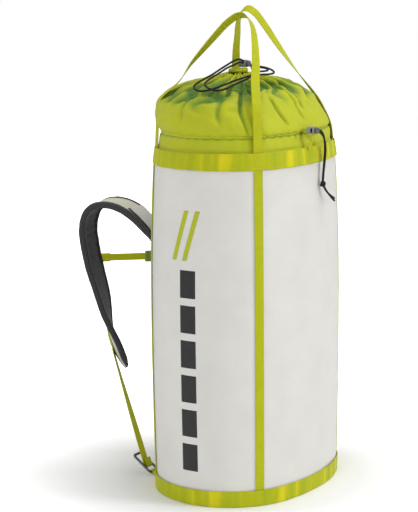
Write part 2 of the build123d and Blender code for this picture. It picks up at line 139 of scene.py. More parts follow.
def smooth_curve(points, count):
    """Evenly spaced samples of a centripetal Catmull-Rom curve. Extra columns ride along."""
    p = np.asarray(points, float)
    p = np.vstack([2 * p[0] - p[1], p, 2 * p[-1] - p[-2]])
    gaps = np.linalg.norm(np.diff(p[:, :3], axis=0), axis=1)
    t = np.concatenate([[0], np.cumsum(np.sqrt(gaps) + 1e-9)])
    dense = []
    for i in range(1, len(p) - 2):
        u = np.linspace(t[i], t[i + 1], 60, endpoint=i == len(p) - 3)[:, None]

        def between(a, b, low, high):
            return ((t[high] - u) * a + (u - t[low]) * b) / (t[high] - t[low])
        a1, a2, a3 = (between(p[k - 1], p[k], k - 1, k) for k in (i, i + 1, i + 2))
        b1, b2 = between(a1, a2, i - 1, i + 1), between(a2, a3, i, i + 2)
        dense.append(between(b1, b2, i, i + 1))
    return resampled(np.vstack(dense), count)


def lattice_noise(seed, period_u, period_v):
    """Smooth repeatable noise from -1 to 1 on a lattice that wraps round in u; v runs from 0 to 1."""
    values = np.random.RandomState(seed).uniform(-1, 1, (period_u, period_v + 2))

    def at(u, v):
        u, v = np.asarray(u, float) * period_u, np.clip(np.asarray(v, float), 0, 1) * (period_v - 1)
        i, j = np.floor(u).astype(int), np.floor(v).astype(int)
        fu, fv = u - i, v - j
        fu, fv = fu * fu * (3 - 2 * fu), fv * fv * (3 - 2 * fv)
        i0, i1 = i % period_u, (i + 1) % period_u
        low = values[i0, j] * (1 - fu) + values[i1, j] * fu
        high = values[i0, j + 1] * (1 - fu) + values[i1, j + 1] * fu
        return low * (1 - fv) + high * fv
    return at


# ---- mesh builders ----

def add_object(name, data):
    """Object with this mesh, curve, light or camera, in the scene."""
    obj = bpy.data.objects.new(name, data)
    bpy.context.scene.collection.objects.link(obj)
    return obj


def add_mesh(name, verts, faces, uvs, material):
    """Mesh object from vertices, faces and one UV per face corner, in metres."""
    name = name + "_form" if name in nodes else name
    mesh = bpy.data.meshes.new(name)
    mesh.from_pydata([tuple(v) for v in verts], [], faces)
    layer = mesh.uv_layers.new(name="UVMap")
    layer.data.foreach_set("uv", np.asarray(uvs, dtype=np.float32).ravel())
    mesh.polygons.foreach_set("use_smooth", [True] * len(mesh.polygons))
    mesh.materials.append(material)
    mesh.update()
    return add_object(name, mesh)


def swept(name, sections, material, closed=False):
    """Closed section polygons, shape (n, k, 3), joined into a tube, capped unless it closes on itself."""
    n, k, _ = sections.shape
    verts = sections.reshape(-1, 3)
    centres = sections.mean(axis=1)
    along = run_length(centres)
    if closed:
        along = np.append(along, along[-1] + np.linalg.norm(centres[0] - centres[-1]))
    around = run_length(np.vstack([sections[0], sections[0][:1]]))
    faces, uvs = [], []
    for i in range(n if closed else n - 1):
        for j in range(k):
            corners = ((i, j), (i, j + 1), (i + 1, j + 1), (i + 1, j))
            faces.append(tuple(a % n * k + b % k for a, b in corners))
            uvs += [(along[a], around[b]) for a, b in corners]
    if not closed:
        for i, order in ((0, range(k - 1, -1, -1)), (n - 1, range(k))):
            faces.append(tuple(i * k + j for j in order))
            uvs += [(along[i], around[j]) for j in order]
    return add_mesh(name, verts, faces, uvs, material)


def shell(name, grid, thickness, material, wrap=False, uv=None):
    """Thin closed shell. grid is the outer face, shape (n, m, 3); the inner one lies inside it."""
    n, m, _ = grid.shape
    du = np.roll(grid, -1, 0) - np.roll(grid, 1, 0) if wrap else np.gradient(grid, axis=0)
    dv = np.gradient(grid, axis=1)
    normal = unit(np.cross(du, dv))
    inner = grid - normal * (thickness if np.isscalar(thickness) else thickness[..., None])
    verts = np.concatenate([grid.reshape(-1, 3), inner.reshape(-1, 3)])
    if uv is None:
        mid_row, mid_col = grid[:, m // 2], grid[n // 2]
        ul, vl = run_length(mid_row), run_length(mid_col)
        if wrap:
            ul = np.append(ul, ul[-1] + np.linalg.norm(mid_row[0] - mid_row[-1]))
        uv = lambda i, j: (ul[i], vl[j])
    faces, uvs = [], []

    def add(*corners):
        """One face. Each corner is its layer, row and column."""
        faces.append(tuple((layer * n + i % n) * m + j for layer, i, j in corners))
        uvs.extend(uv(i, j) for _, i, j in corners)
    for i in range(n if wrap else n - 1):
        for j in range(m - 1):
            add((0, i, j), (0, i + 1, j), (0, i + 1, j + 1), (0, i, j + 1))
            add((1, i, j), (1, i, j + 1), (1, i + 1, j + 1), (1, i + 1, j))
        add((0, i, 0), (1, i, 0), (1, i + 1, 0), (0, i + 1, 0))
        add((0, i + 1, m - 1), (1, i + 1, m - 1), (1, i, m - 1), (0, i, m - 1))
    if not wrap:
        for j in range(m - 1):
            add((0, 0, j + 1), (1, 0, j + 1), (1, 0, j), (0, 0, j))
            add((0, n - 1, j), (1, n - 1, j), (1, n - 1, j + 1), (0, n - 1, j + 1))
    return add_mesh(name, verts, faces, uvs, material)


def strip_section(width, thickness):
    """Outline of a flat strap: straight faces and rounded edges, as (k, 2)."""
    r = thickness / 2
    w = width / 2 - r
    half = [(x, r) for x in np.linspace(-w, w, 9)]
    half += [(w + r * math.sin(t), r * math.cos(t)) for t in np.linspace(0, math.pi, 6)[1:-1]]
    return np.array(half + [(-x, -y) for x, y in half])


def ribbon(name, centres, across, width, thickness, material):
    """Webbing along centres, shape (n, 3), its width lying along across, shape (n, 3)."""
    tangent = unit(np.gradient(centres, axis=0))
    across = unit(across - tangent * np.sum(across * tangent, axis=1, keepdims=True))
    normal = np.cross(tangent, across)
    section = strip_section(width, thickness)
    sections = (centres[:, None, :] + section[None, :, 0, None] * across[:, None, :]
                + section[None, :, 1, None] * normal[:, None, :])
    return swept(name, sections, material)


def tube(line, first, second, radius_first, radius_second, sides):
    """Sections of a round or oval tube along a line; its two radii lie along first and second."""
    turns = full_turn(sides)[None, :, None]
    return (line[:, None, :] + radius_first * np.cos(turns) * first
            + radius_second * np.sin(turns) * second)


def joined(name, made):
    """Several mesh objects as one."""
    with bpy.context.temp_override(active_object=made[0], selected_editable_objects=made):
        bpy.ops.object.join()
    made[0].name = name
    return made[0]


# ---- materials ----

class Nodes:
    """A material's node tree with short calls for what the materials below repeat."""

    def __init__(self, name):
        self.material = bpy.data.materials.new(name)
        self.material.use_nodes = True
        self.tree = self.material.node_tree
        self.tree.nodes.clear()
        self.out = self.tree.nodes.new("ShaderNodeOutputMaterial")
        self.bsdf = self.tree.nodes.new("ShaderNodeBsdfPrincipled")
        self.tree.links.new(self.bsdf.outputs[0], self.out.inputs[0])

    def put(self, socket, value):
        if isinstance(value, bpy.types.NodeSocket):
            self.tree.links.new(value, socket)
        else:
            socket.default_value = value

    def node(self, kind, out=0, settings=None, **inputs):
        made = self.tree.nodes.new("ShaderNode" + kind)
        for key, value in (settings or {}).items():
            setattr(made, key, value)
        for key, value in inputs.items():
            key = int(key[1:]) if key[0] == "i" and key[1:].isdigit() else key.replace("_", " ")
            self.put(made.inputs[key], value)
        return made.outputs[out]

    def math(self, operation, a, b=0.0, c=0.0):
        return self.node("Math", settings={"operation": operation}, i0=a, i1=b, i2=c)

    def coordinates(self, use_uv):
        return self.node("TexCoord", out=2 if use_uv else 3)

    def split(self, vector):
        made = self.tree.nodes.new("ShaderNodeSeparateXYZ")
        self.put(made.inputs[0], vector)
        return made.outputs

    def wave(self, value, pitch):
        return self.math("SINE", self.math("MULTIPLY", value, 2 * math.pi / pitch))

    def mix(self, share, a, b):
        return self.node("Mix", out=2, settings={"data_type": "RGBA"}, i0=share, i6=a, i7=b)

    def noise(self, vector, scale, detail=3.0):
        return self.node("TexNoise", Vector=vector, Scale=scale, Detail=detail, Roughness=0.55)

    def ramp(self, value, low, high):
        return self.node("MapRange", i0=value, i1=low, i2=high, i3=0.0, i4=1.0)

    def bump(self, height, strength, distance, normal=None):
        below = {} if normal is None else {"Normal": normal}
        return self.node("Bump", Height=height, Strength=strength, Distance=distance, **below)

    def finish(self, color, roughness, normal=None, **fixed):
        inputs = {"Base_Color": color, "Roughness": roughness, **fixed}
        if normal is not None:
            inputs["Normal"] = normal
        for key, value in inputs.items():
            self.put(self.bsdf.inputs[key.replace("_", " ")], value)
        return self.material


def rgba(r, g, b, gain=1.0):
    """Opaque colour, made lighter or darker by gain."""
    return (r * gain, g * gain, b * gain, 1.0)


def webbing_material(name, color, use_uv=True, painted_ripple_light=False):
    """Woven strap: herringbone ribs, darker between the yarns. On a rippled band it can add streaks across
    the band: painted highlights and painted shade of the ripples.
    """
    n = Nodes(name)
    at = n.coordinates(use_uv)
    split = n.split(at)
    along, side = split[0 if use_uv else 2], split[1 if use_uv else 0]
    fold = n.math("PINGPONG", side, 0.0024)
    ribs = n.wave(n.math("ADD", along, fold), 0.0013)
    height = n.math("ADD", ribs, n.math("MULTIPLY", n.wave(side, 0.0012), 0.5))
    # dark serves the random blotches and the painted shade of the streaks; light serves only the painted
    # highlights
    dark = rgba(color[0] * 0.66, color[1] * 0.80, color[2])
    light = rgba(color[0] * 1.30, color[1] * 1.16, color[2])
    shade = n.ramp(height, -1.4, 1.2)
    blotch = n.ramp(n.noise(at, 45.0), 0.3, 0.7)
    base = n.mix(shade, rgba(*color, 0.82), rgba(*color, 1.04))
    base = n.mix(n.math("MULTIPLY", blotch, 0.42), base, dark)
    if painted_ripple_light:
        # painted highlights and painted shade: lighter and darker streaks across the rippled rim band
        ripple_light_noise = n.noise(n.node("Mapping", Vector=at, Scale=(1.0, 0.12, 1.0)), 27.0, 2.0)
        base = n.mix(n.ramp(ripple_light_noise, 0.52, 0.66), base, light)
        base = n.mix(n.ramp(ripple_light_noise, 0.48, 0.34), base, dark)
    normal = n.bump(height, 0.18, 0.00020)
    return n.finish(base, 0.65, normal, Sheen_Weight=0.06, Sheen_Roughness=0.4,
                    Specular_IOR_Level=0.18)


def coated_material(name, color, use_uv=True):
    """Coated tarpaulin: scrim grid showing faintly through a satin skin, with soft marks."""
    n = Nodes(name)
    at = n.coordinates(use_uv)
    split = n.split(at)
    scrim = n.math("MULTIPLY", n.wave(split[0], 0.0016), n.wave(split[1 if use_uv else 2], 0.0016))
    grain = n.noise(at, 900.0, 2.0)
    soft = n.noise(at, 14.0, 4.0)
    marks = n.ramp(n.noise(at, 55.0, 6.0), 0.58, 0.80)
    base = n.mix(n.ramp(soft, 0.3, 0.7), rgba(*color, 0.955), rgba(*color, 1.02))
    base = n.mix(n.math("MULTIPLY", marks, 0.10), base, rgba(*color, 0.72))
    rough = n.node("MapRange", i0=soft, i1=0.3, i2=0.7, i3=0.38, i4=0.50)
    normal = n.bump(scrim, 0.10, 0.00012)
    normal = n.bump(grain, 0.08, 0.0002, normal)
    normal = n.bump(n.noise(at, 22.0, 3.0), 0.10, 0.004, normal)
    return n.finish(base, rough, normal, Specular_IOR_Level=0.5, Coat_Weight=0.06)


def collar_material(name, color):
    """Light ripstop: rows of small raised cells and a fine weave, a little see-through."""
    n = Nodes(name)
    at = n.coordinates(True)
    turned = n.node("Mapping", Vector=at, Rotation=(0, 0, math.radians(45)), Scale=(250, 250, 250))
    cells = n.node("TexVoronoi", Vector=turned, Scale=1.0, Randomness=0.0)
    dots = n.ramp(cells, 0.42, 0.20)
    weave = n.noise(at, 1500.0, 1.0)
    blotch = n.ramp(n.noise(at, 18.0, 3.0), 0.3, 0.7)
    base = n.mix(dots, rgba(*color), rgba(color[0] * 1.18, color[1] * 1.12, color[2] * 1.3))
    base = n.mix(n.math("MULTIPLY", blotch, 0.30), base, rgba(color[0] * 0.78, color[1] * 0.90, color[2]))
    # painted shade: a deep green mixed into the cloth where it lies deep in a fold
    fold_shade = n.node("Attribute", out=2, settings={"attribute_name": "fold_shade"})
    base = n.mix(fold_shade, base, rgba(0.045, 0.17, 0.025))
    normal = n.bump(dots, 0.30, 0.0003)
    normal = n.bump(weave, 0.12, 0.0002, normal)
    return n.finish(base, 0.55, normal, Sheen_Weight=0.06, Sheen_Roughness=0.35,
                    Specular_IOR_Level=0.22)


def fabric_material(name, color, pitch, roughness, use_uv=True):
    """Plain woven or knitted cloth of one colour."""
    n = Nodes(name)
    at = n.coordinates(use_uv)
    split = n.split(at)
    weave = n.math("MULTIPLY", n.wave(split[0], pitch), n.wave(split[1], pitch))
    base = n.mix(n.ramp(weave, -1, 1), rgba(*color, 0.7), rgba(*color, 1.25))
    dust = n.ramp(n.noise(at, 60.0, 4.0), 0.5, 0.8)
    base = n.mix(n.math("MULTIPLY", dust, 0.12), base, rgba(*(part + 0.05 for part in color)))
    normal = n.bump(weave, 0.4, pitch * 0.25)
    return n.finish(base, roughness, normal, Sheen_Weight=0.15, Sheen_Roughness=0.5)


def braid_material(name, color, length=None):
    """Braided cord sheath: two crossing sets of slanted strands.
    A curve's own UV runs from 0 to 1, so its length in metres is given; a mesh's is in metres."""
    n = Nodes(name)
    at = n.coordinates(True)
    split = n.split(at)
    along = n.math("MULTIPLY", split[0], 420.0 * (length or 1.0))
    about = n.math("MULTIPLY", split[1], 4.0 if length else 4.0 / (math.pi * CORD))
    strands = [n.wave(n.math(turn, along, about), 1.0) for turn in ("ADD", "SUBTRACT")]
    braid = n.math("MAXIMUM", *strands)
    base = n.mix(n.ramp(braid, -0.6, 1.0), rgba(*color, 0.5), rgba(*color, 1.7))
    normal = n.bump(braid, 0.6, 0.0004)
    return n.finish(base, 0.6, normal, Sheen_Weight=0.03, Sheen_Roughness=0.5, Specular_IOR_Level=0.22)


def plastic_material(name, color, roughness):
    """Moulded plastic with a fine spark-eroded texture and scuffed patches."""
    n = Nodes(name)
    at = n.coordinates(False)
    grain = n.noise(at, 2500.0, 2.0)
    scuff = n.ramp(n.noise(at, 120.0, 5.0), 0.5, 0.75)
    base = n.mix(n.math("MULTIPLY", scuff, 0.25), rgba(*color), rgba(*color, 1.35))
    rough = n.node("MapRange", i0=scuff, i1=0.0, i2=1.0, i3=roughness, i4=roughness + 0.15)
    return n.finish(base, rough, n.bump(grain, 0.15, 0.0002), Specular_IOR_Level=0.5)


def steel_material(name, color):
    """Cast and tumbled steel: metal with fine pits and a brushed roughness."""
    n = Nodes(name)
    at = n.coordinates(False)
    pits = n.noise(at, 900.0, 4.0)
    rub = n.noise(at, 60.0, 4.0)
    base = n.mix(n.ramp(rub, 0.35, 0.7), rgba(*color, 0.75), rgba(*color, 1.15))
    rough = n.node("MapRange", i0=rub, i1=0.3, i2=0.7, i3=0.24, i4=0.42)
    return n.finish(base, rough, n.bump(pits, 0.12, 0.0002), Metallic=1.0)


def thread_material(name, color):
    """Sewing thread with a twist."""
    n = Nodes(name)
    at = n.coordinates(True)
    twist = n.node("TexWave", Vector=at, Scale=300.0, settings={"bands_direction": "DIAGONAL"})
    base = n.mix(twist, rgba(*color, 0.8), rgba(*color, 1.1))
    return n.finish(base, 0.55, n.bump(twist, 0.3, 0.0001))


LIME = (0.53, 0.54, 0.008)
COLLAR = (0.47, 0.51, 0.014)
WHITE = (0.735, 0.725, 0.685)
BLACK = (0.014, 0.014, 0.016)
BRAID = (0.009, 0.008, 0.011)

lime = webbing_material("lime_webbing", LIME)
# rim band webbing with painted highlight and shade streaks
lime_band = webbing_material("lime_rim_webbing", LIME, painted_ripple_light=True)
lime_cad = webbing_material("lime_webbing_cad", LIME, use_uv=False)
cloth = collar_material("collar_ripstop", COLLAR)
white = coated_material("white_tarpaulin", WHITE)
white_cad = coated_material("white_tarpaulin_cad", WHITE, use_uv=False)
cream = coated_material("pad_cover_cloth", (0.70, 0.68, 0.56))
lining = fabric_material("black_lining", (0.022, 0.022, 0.024), 0.0011, 0.65)
tape = fabric_material("black_edge_tape", BLACK, 0.0009, 0.6)
foam = fabric_material("dark_foam", (0.05, 0.05, 0.05), 0.0008, 0.9, use_uv=False)
braid = braid_material("black_braid", BRAID)
grey = plastic_material("grey_plastic", (0.27, 0.285, 0.275), 0.42)
dark_grey = plastic_material("dark_grey_plastic", (0.10, 0.105, 0.105), 0.40)
green_plastic = plastic_material("green_plastic", (0.16, 0.24, 0.03), 0.42)
steel = steel_material("dark_steel", (0.15, 0.148, 0.14))
lime_thread = thread_material("lime_thread", (0.52, 0.55, 0.03))
print_black = coated_material("black_print", (0.012, 0.012, 0.013))
print_lime = coated_material("lime_print", (0.45, 0.50, 0.012))


def place(piece, body, slot, *replaced):
    """Puts a finished piece on its body and hides the CAD nodes it stands for. slot is not used."""
    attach(piece, body)
    if replaced:
        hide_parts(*replaced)
    return piece


def place_between(piece, body, near, far, slot, *replaced):
    """Bakes the transform of a piece that joins the bag to another body and hides the CAD nodes it stands
    for. body, near, far and slot are not used.
    """
    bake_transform(piece)
    if replaced:
        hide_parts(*replaced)


# ---- stitching ----

STITCH_PITCH, STITCH_LENGTH, THREAD_RADIUS = 0.0042, 0.0030, 0.00030
# Along a stitch, as shares of its length: the place, the thickness and how far it stands out.
STITCH_FORM = ((-0.5, 0.25, -0.7), (-0.28, 1, 0.35), (0.28, 1, 0.35), (0.5, 0.25, -0.7))


def stitches(name, lines, material):
    """Rows of sewn stitches. Each line is (points, normals): one small bead per stitch."""
    ring = [(math.cos(t), math.sin(t)) for t in full_turn(6)]
    verts, faces, uvs = [], [], []
    for points, normals in lines:
        run = run_length(points)
        count = max(1, int(run[-1] / STITCH_PITCH))
        for middle in (np.arange(count) + 0.5) * run[-1] / count:
            ends = [read(middle + share * STITCH_LENGTH, run, points) for share, size, lift in STITCH_FORM]
            up = THREAD_RADIUS * unit(read(middle, run, normals))
            side = THREAD_RADIUS * unit(np.cross(ends[3] - ends[0], up))
            base = len(verts)
            for at, (share, size, lift) in zip(ends, STITCH_FORM):
                verts += [at + up * (lift + s * size) + side * c * size for c, s in ring]
            for i in range(3):
                for j in range(6):
                    row, k = base + i * 6, (j + 1) % 6
                    faces.append((row + j, row + k, row + 6 + k, row + 6 + j))
                    u, v = i * 0.001, j * 0.0003
                    uvs += [(u, v), (u, v + 0.0003), (u + 0.001, v + 0.0003), (u + 0.001, v)]
            faces.append(tuple(base + j for j in range(5, -1, -1)))
            faces.append(tuple(base + 18 + j for j in range(6)))
            uvs += [(0, 0)] * 12
    return add_mesh(name, verts, faces, uvs, material)


# ---- body: walls, straps and bands ----

CORNERS = [CORNER, math.pi - CORNER, math.pi + CORNER, 2 * math.pi - CORNER]
STRAP_LAYER = (0.0002, 0.0014)       # inner face and thickness
BAND_THICKNESS = 0.0015
BAND_SEWN = 0.0028                   # stitches from the band's edges
BOX_HALF, BOX_IN = 0.0082, 0.006     # sewn square: half width, distance from the band's edges
SEAM_GAP = 0.0009                    # angle between a panel's edge and the middle of its seam
LEFT_WAVES = 31                      # seed of the left panel's waves


def smoothstep(x, low, high):
    """0 up to low, 1 from high on, and a soft rise between them."""
    t = np.clip((x - low) / (high - low), 0, 1)
    return t * t * (3 - 2 * t)


def half_thick(s, half, thickness):
    """Half thickness of webbing at a distance s from its middle, with rounded edges."""
    r = thickness / 2
    return r * np.sqrt(1.0001 - np.clip((np.abs(s) - (half - r)) / r, 0, 1) ** 2)


def edge_samples(half, r, inside=9):
    """Distances across a strap, closer together at its rounded edges."""
    bend = half - r + r * np.sin(np.linspace(0, math.pi / 2, 5))
    return np.concatenate([-bend[::-1], np.linspace(-half + r, half - r, inside)[1:-1], bend])


def arc_rate(angle, z):
    """Length along the body's surface per radian, at a height."""
    step = 0.002
    return np.linalg.norm(body_point(angle + step, z) - body_point(angle - step, z), axis=-1) / (2 * step)


def from_corner(angle):
    """Distance along the surface from the nearest corner strap's middle."""
    away = np.min([np.abs((angle - c + math.pi) % (2 * math.pi) - math.pi) for c in CORNERS], axis=0)
    return away * MEAN_RADIUS


def wall_offset(angle, z, seed):
    """Soft waves of the coated cloth, all inwards, none beside the straps and bands."""
    turn, rise, away = angle / (2 * math.pi), z / BODY_HEIGHT, from_corner(angle)
    waves, fine = lattice_noise(seed, 14, 7)(turn, rise), lattice_noise(seed + 1, 40, 16)(turn, rise)
    calm = smoothstep(away, 0.011, 0.05)
    calm = calm * smoothstep(z, 0.034, 0.09) * smoothstep(BODY_HEIGHT - z, 0.034, 0.08)
    seam = np.exp(-((away - 0.0125) / 0.004) ** 2)
    return calm * (0.0011 * (waves - 1) / 2 + 0.0004 * (fine - 1) / 2) - 0.0005 * seam


def on_wall(angle, z, lift, seed):
    """Points above a wall panel, following its waves."""
    grid = body_point(angle, z)
    return grid + outward(grid) * (wall_offset(angle, z, seed) + lift)[..., None]


def make_wall(name, start, end, seed):
    """Wall panel between two seams. It stops just short of them, of the base and of the rim."""
    angle, z = np.meshgrid(np.linspace(start + SEAM_GAP, end - SEAM_GAP, 97),
                           np.linspace(0.0018, BODY_HEIGHT - 0.0012, 141), indexing="ij")
    place(shell(name, on_wall(angle, z, 0, seed), WALL, white), "bag", "coated_cloth", name)


def printed_block(name, angle, low, high, width, slant, material, slot):
    """Plain printed bar on the left panel, leaning by slant metres from foot to top."""
    s, z = np.meshgrid(np.linspace(-width / 2, width / 2, 13), np.linspace(low, high, 25), indexing="ij")
    rate = arc_rate(angle, (low + high) / 2)
    lean = slant * ((z - low) / (high - low) - 0.5)
    grid = on_wall(angle + (s + lean) / rate, z, 0.00012, LEFT_WAVES)
    place(shell(name, grid, 0.00008, material), "bag", slot)


make_wall("wall_right", -CORNER, CORNER, 11)
make_wall("wall_back", CORNER, math.pi - CORNER, 21)
make_wall("wall_left", math.pi - CORNER, math.pi + CORNER, LEFT_WAVES)
make_wall("wall_front", math.pi + CORNER, 2 * math.pi - CORNER, 41)


def make_strap(name, angle):
    """Upright webbing over a wall seam, with two rows of stitches."""
    half, (low, thick) = STRAP_WIDTH / 2, STRAP_LAYER
    s = edge_samples(half, thick / 2)
    heights = np.linspace(0.004, 0.709, 90)
    across, z = np.meshgrid(s, heights, indexing="ij")
    rate = arc_rate(np.full_like(z, angle), z)
    h = half_thick(across, half, thick)
    wave = 0.00025 * (1 + lattice_noise(int(angle * 10), 3, 26)(across * 20 + 0.5, z / BODY_HEIGHT))
    tucked = smoothstep(z, 0.030, 0.045) * smoothstep(BODY_HEIGHT - z, 0.030, 0.045)
    grid = body_point(angle + across / rate, z, low + thick / 2 + h + wave * tucked)
    strap = shell(name, grid, 2 * h, lime, uv=lambda i, j: (heights[j], s[i]))
    place(strap, "bag", "webbing", name)
    lines = []
    sewn = np.linspace(BAND + 0.003, BODY_HEIGHT - BAND - 0.003, 120)
    for edge in (0.0022 - half, half - 0.0022):
        at = body_point(angle + edge / arc_rate(angle + 0 * sewn, sewn), sewn, low + thick + 0.0003)
        lines.append((at, unit(at * [1, 1, 0])))
    return lines


def band_offset(angle, z, seed):
    """Middle of a band's thickness above the wall: it climbs over the four straps."""
    away = from_corner(angle)
    over = 1 - smoothstep(away, 0.0100, 0.0175)
    ripple = lattice_noise(seed, 46, 2)(angle / (2 * math.pi), 0 * z)
    return 0.00175 + 0.0009 * over + 0.00095 * (1 + ripple) * (1 - over)


def make_band(name, low, high, seed):
    """Band of webbing round the bag, with a row of stitches along each edge."""
    half = (high - low) / 2
    s = edge_samples(half, BAND_THICKNESS / 2, 11)
    angles = full_turn(480)
    angle, across = np.meshgrid(angles, s, indexing="ij")
    z = (low + high) / 2 + across
    h = half_thick(across, half, BAND_THICKNESS)
    grid = body_point(angle, np.clip(z, low, high), band_offset(angle, z, seed) + h)
    band = shell(name, grid, 2 * h, lime_band, wrap=True)
    place(band, "bag", "webbing", name)
    rows = [(np.append(angles, 2 * math.pi), np.full(len(angles) + 1, edge))
            for edge in (low + BAND_SEWN, high - BAND_SEWN)]
    for corner in CORNERS:          # a sewn square over each strap
        rate = float(arc_rate(np.array(corner), np.array(low)))
        left, right, foot, top = -BOX_HALF, BOX_HALF, low + BOX_IN, high - BOX_IN
        box = [(left, foot), (right, foot), (right, top), (left, top), (left, foot)]
        for (s0, z0), (s1, z1) in zip(box, box[1:]):
            rows.append((corner + np.linspace(s0, s1, 12) / rate, np.linspace(z0, z1, 12)))
    lines = []
    for turn, up in rows:
        at = body_point(turn, up, band_offset(turn, up, seed) + BAND_THICKNESS / 2)
        lines.append((at, unit(at * [1, 1, 0])))
    return lines


seams = []
for strap_place, corner in (("back_right", 0), ("front_right", 3), ("back_left", 1), ("front_left", 2)):
    seams += make_strap("corner_strap_" + strap_place, CORNERS[corner])
seams += make_band("rim_band", BODY_HEIGHT - BAND, BODY_HEIGHT, 51)
seams += make_band("base_band", 0.0, BAND, 52)
place(stitches("body_stitches", seams, lime_thread), "bag", "webbing")


BAR_FOOT, BAR_STEP, BAR_HEIGHT, BAR_WIDTH = 0.070, 0.071, 0.056, 0.036
for i in range(6):
    low = BAR_FOOT + i * BAR_STEP
    printed_block(f"print_bar_{round(low * 1000)}", math.radians(179.6), low, low + BAR_HEIGHT,
                  BAR_WIDTH, 0.0, print_black, "binding")
for stripe, degrees in (("low", 175.0), ("high", 181.5)):
    printed_block("print_stripe_" + stripe, math.radians(degrees), 0.500, 0.600, 0.011, 0.030,
                  print_lime, "webbing")


# ---- collar ----

def collar_ring(angle, scale, offset=0.0):
    """Distance from the axis to the collar's section, against its foot at the rim."""
    k = SCALE_RIM
    return oval_radius(angle, (HALF_WIDTH * k + COLLAR_FOOT) * scale + offset,
                       (HALF_DEPTH * k + COLLAR_FOOT) * scale + offset,
                       (END_RADIUS * k + COLLAR_FOOT) * scale + offset)


# Sections of the collar from its hem to its mouth: height, size against the foot, share of the lean.
LEVELS = [(0.7438, 0.936, 0.0), (0.7480, 0.954, 0.0), (0.759, 0.964, 0.3), (0.775, 0.954, 0.75),
          (0.792, 0.928, 1.15), (0.811, 0.886, 1.25), (0.826, 0.795, 1.2), (0.837, 0.690, 1.1),
          (0.8460, 0.550, 1.0), (0.8522, 0.360, 1.0), (0.8560, 0.205, 1.0), (0.8585, 0.140, 1.0)]


def uneven(angle, count, seed):
    """Position among count folds round the collar, unevenly spaced."""
    turn = angle / (2 * math.pi)
    wide, small = lattice_noise(seed, 9, 2)(turn, 0 * turn), lattice_noise(seed + 1, 23, 2)(turn, 0 * turn)
    return count * turn + wide * 0.35 + small * 0.18


def folds(x, sharp=0.7):
    """0 at the top of each rounded fold, -1 in the valley between two."""
    return np.abs(np.cos(math.pi * x)) ** sharp - 1


# Single creases of the collar: angle and level where each starts and ends, how deep it sinks and how wide it
# is.
CREASES = [(213.0, 0.02, 214.5, 0.60, 0.0060, 1.3), (233.0, 0.50, 222.0, 0.78, 0.0100, 1.9),
           (228.0, 0.34, 221.0, 0.62, 0.0080, 1.7), (246.0, 0.08, 238.0, 0.36, 0.0065, 1.6),
           (268.0, 0.10, 262.0, 0.74, 0.0050, 1.5), (277.0, 0.20, 268.0, 0.78, 0.0060, 1.8),
           (176.0, 0.14, 178.0, 0.56, 0.0035, 1.2), (186.0, 0.46, 190.0, 0.70, 0.0075, 2.0),
           (198.0, 0.10, 201.0, 0.40, 0.0045, 2.2), (160.0, 0.30, 166.0, 0.70, 0.0065, 2.0),
           (204.0, 0.44, 203.0, 0.72, 0.0070, 1.8), (120.0, 0.20, 124.0, 0.70, 0.0070, 2.2),
           (86.0, 0.10, 90.0, 0.55, 0.0060, 1.8), (52.0, 0.30, 58.0, 0.75, 0.0080, 2.4),
           (12.0, 0.10, 8.0, 0.60, 0.0060, 1.8), (330.0, 0.25, 325.0, 0.70, 0.0075, 2.2)]


def gathers(angle, level):
    """How far the gathered cloth sinks below its tops, from the hem (0) to the mouth (1)."""
    turn = angle / (2 * math.pi)
    drift = lattice_noise(61, 12, 8)(turn, level) * 0.40

    def patches(seed, around, along):
        return 0.5 + 0.5 * lattice_noise(seed, around, along)(turn, level)
    sunk = folds(uneven(angle, 52, 62) + drift, 0.9) * 0.0034 * patches(63, 17, 3) ** 1.5
    sunk = sunk * np.exp(-level / 0.07)
    wide = folds(uneven(angle, 12, 64) + drift, 1.3) * 0.0190 * smoothstep(level, 0.10, 0.60)
    sunk = sunk + wide * (1 - 0.72 * smoothstep(level, 0.70, 1.0)) * (0.20 + 0.80 * patches(65, 11, 3))
    narrow = folds(uneven(angle, 31, 66) + 1.2 * drift, 1.0) * 0.0090 * smoothstep(level, 0.22, 0.70)
    sunk = sunk + narrow * (1 - 0.45 * smoothstep(level, 0.85, 1.0)) * (0.35 + 0.65 * patches(67, 19, 4))
    some = smoothstep(lattice_noise(72, 9, 2)(turn, 0 * turn), 0.05, 0.75)
    long = folds(uneven(angle, 15, 74) + 0.5 * drift, 0.7) * 0.0095 * some
    sunk = sunk + long * smoothstep(level, 0.0, 0.10) * (1 - smoothstep(level, 0.45, 0.75))
    swell = 0.0036 * (lattice_noise(68, 9, 6)(turn, level) - 1) * np.sin(math.pi * np.clip(level, 0, 1))
    small = 0.0011 * (lattice_noise(69, 80, 22)(turn, level) - 1) * smoothstep(level, 0.02, 0.2)
    sunk = sunk + swell + small
    for start, low, end, high, deep, width in CREASES:
        t = np.clip((level - low) / (high - low), 0, 1)
        across = (angle - np.radians(start + (end - start) * t)) / math.radians(width)
        shown = smoothstep(level, low - 0.05, low + 0.06) * (1 - smoothstep(level, high - 0.06, high + 0.05))
        sunk = sunk - deep * np.exp(-across**2) * shown
    return sunk


def shade_folds(piece, fold_shade):
    """Stores painted shade for each point, darker the deeper it lies in a fold; the collar material mixes in
    a deep green by it.
    """
    values = np.concatenate([fold_shade.ravel(), fold_shade.ravel()]).astype(np.float32)
    piece.data.attributes.new("fold_shade", "FLOAT", "POINT").data.foreach_set("value", values)


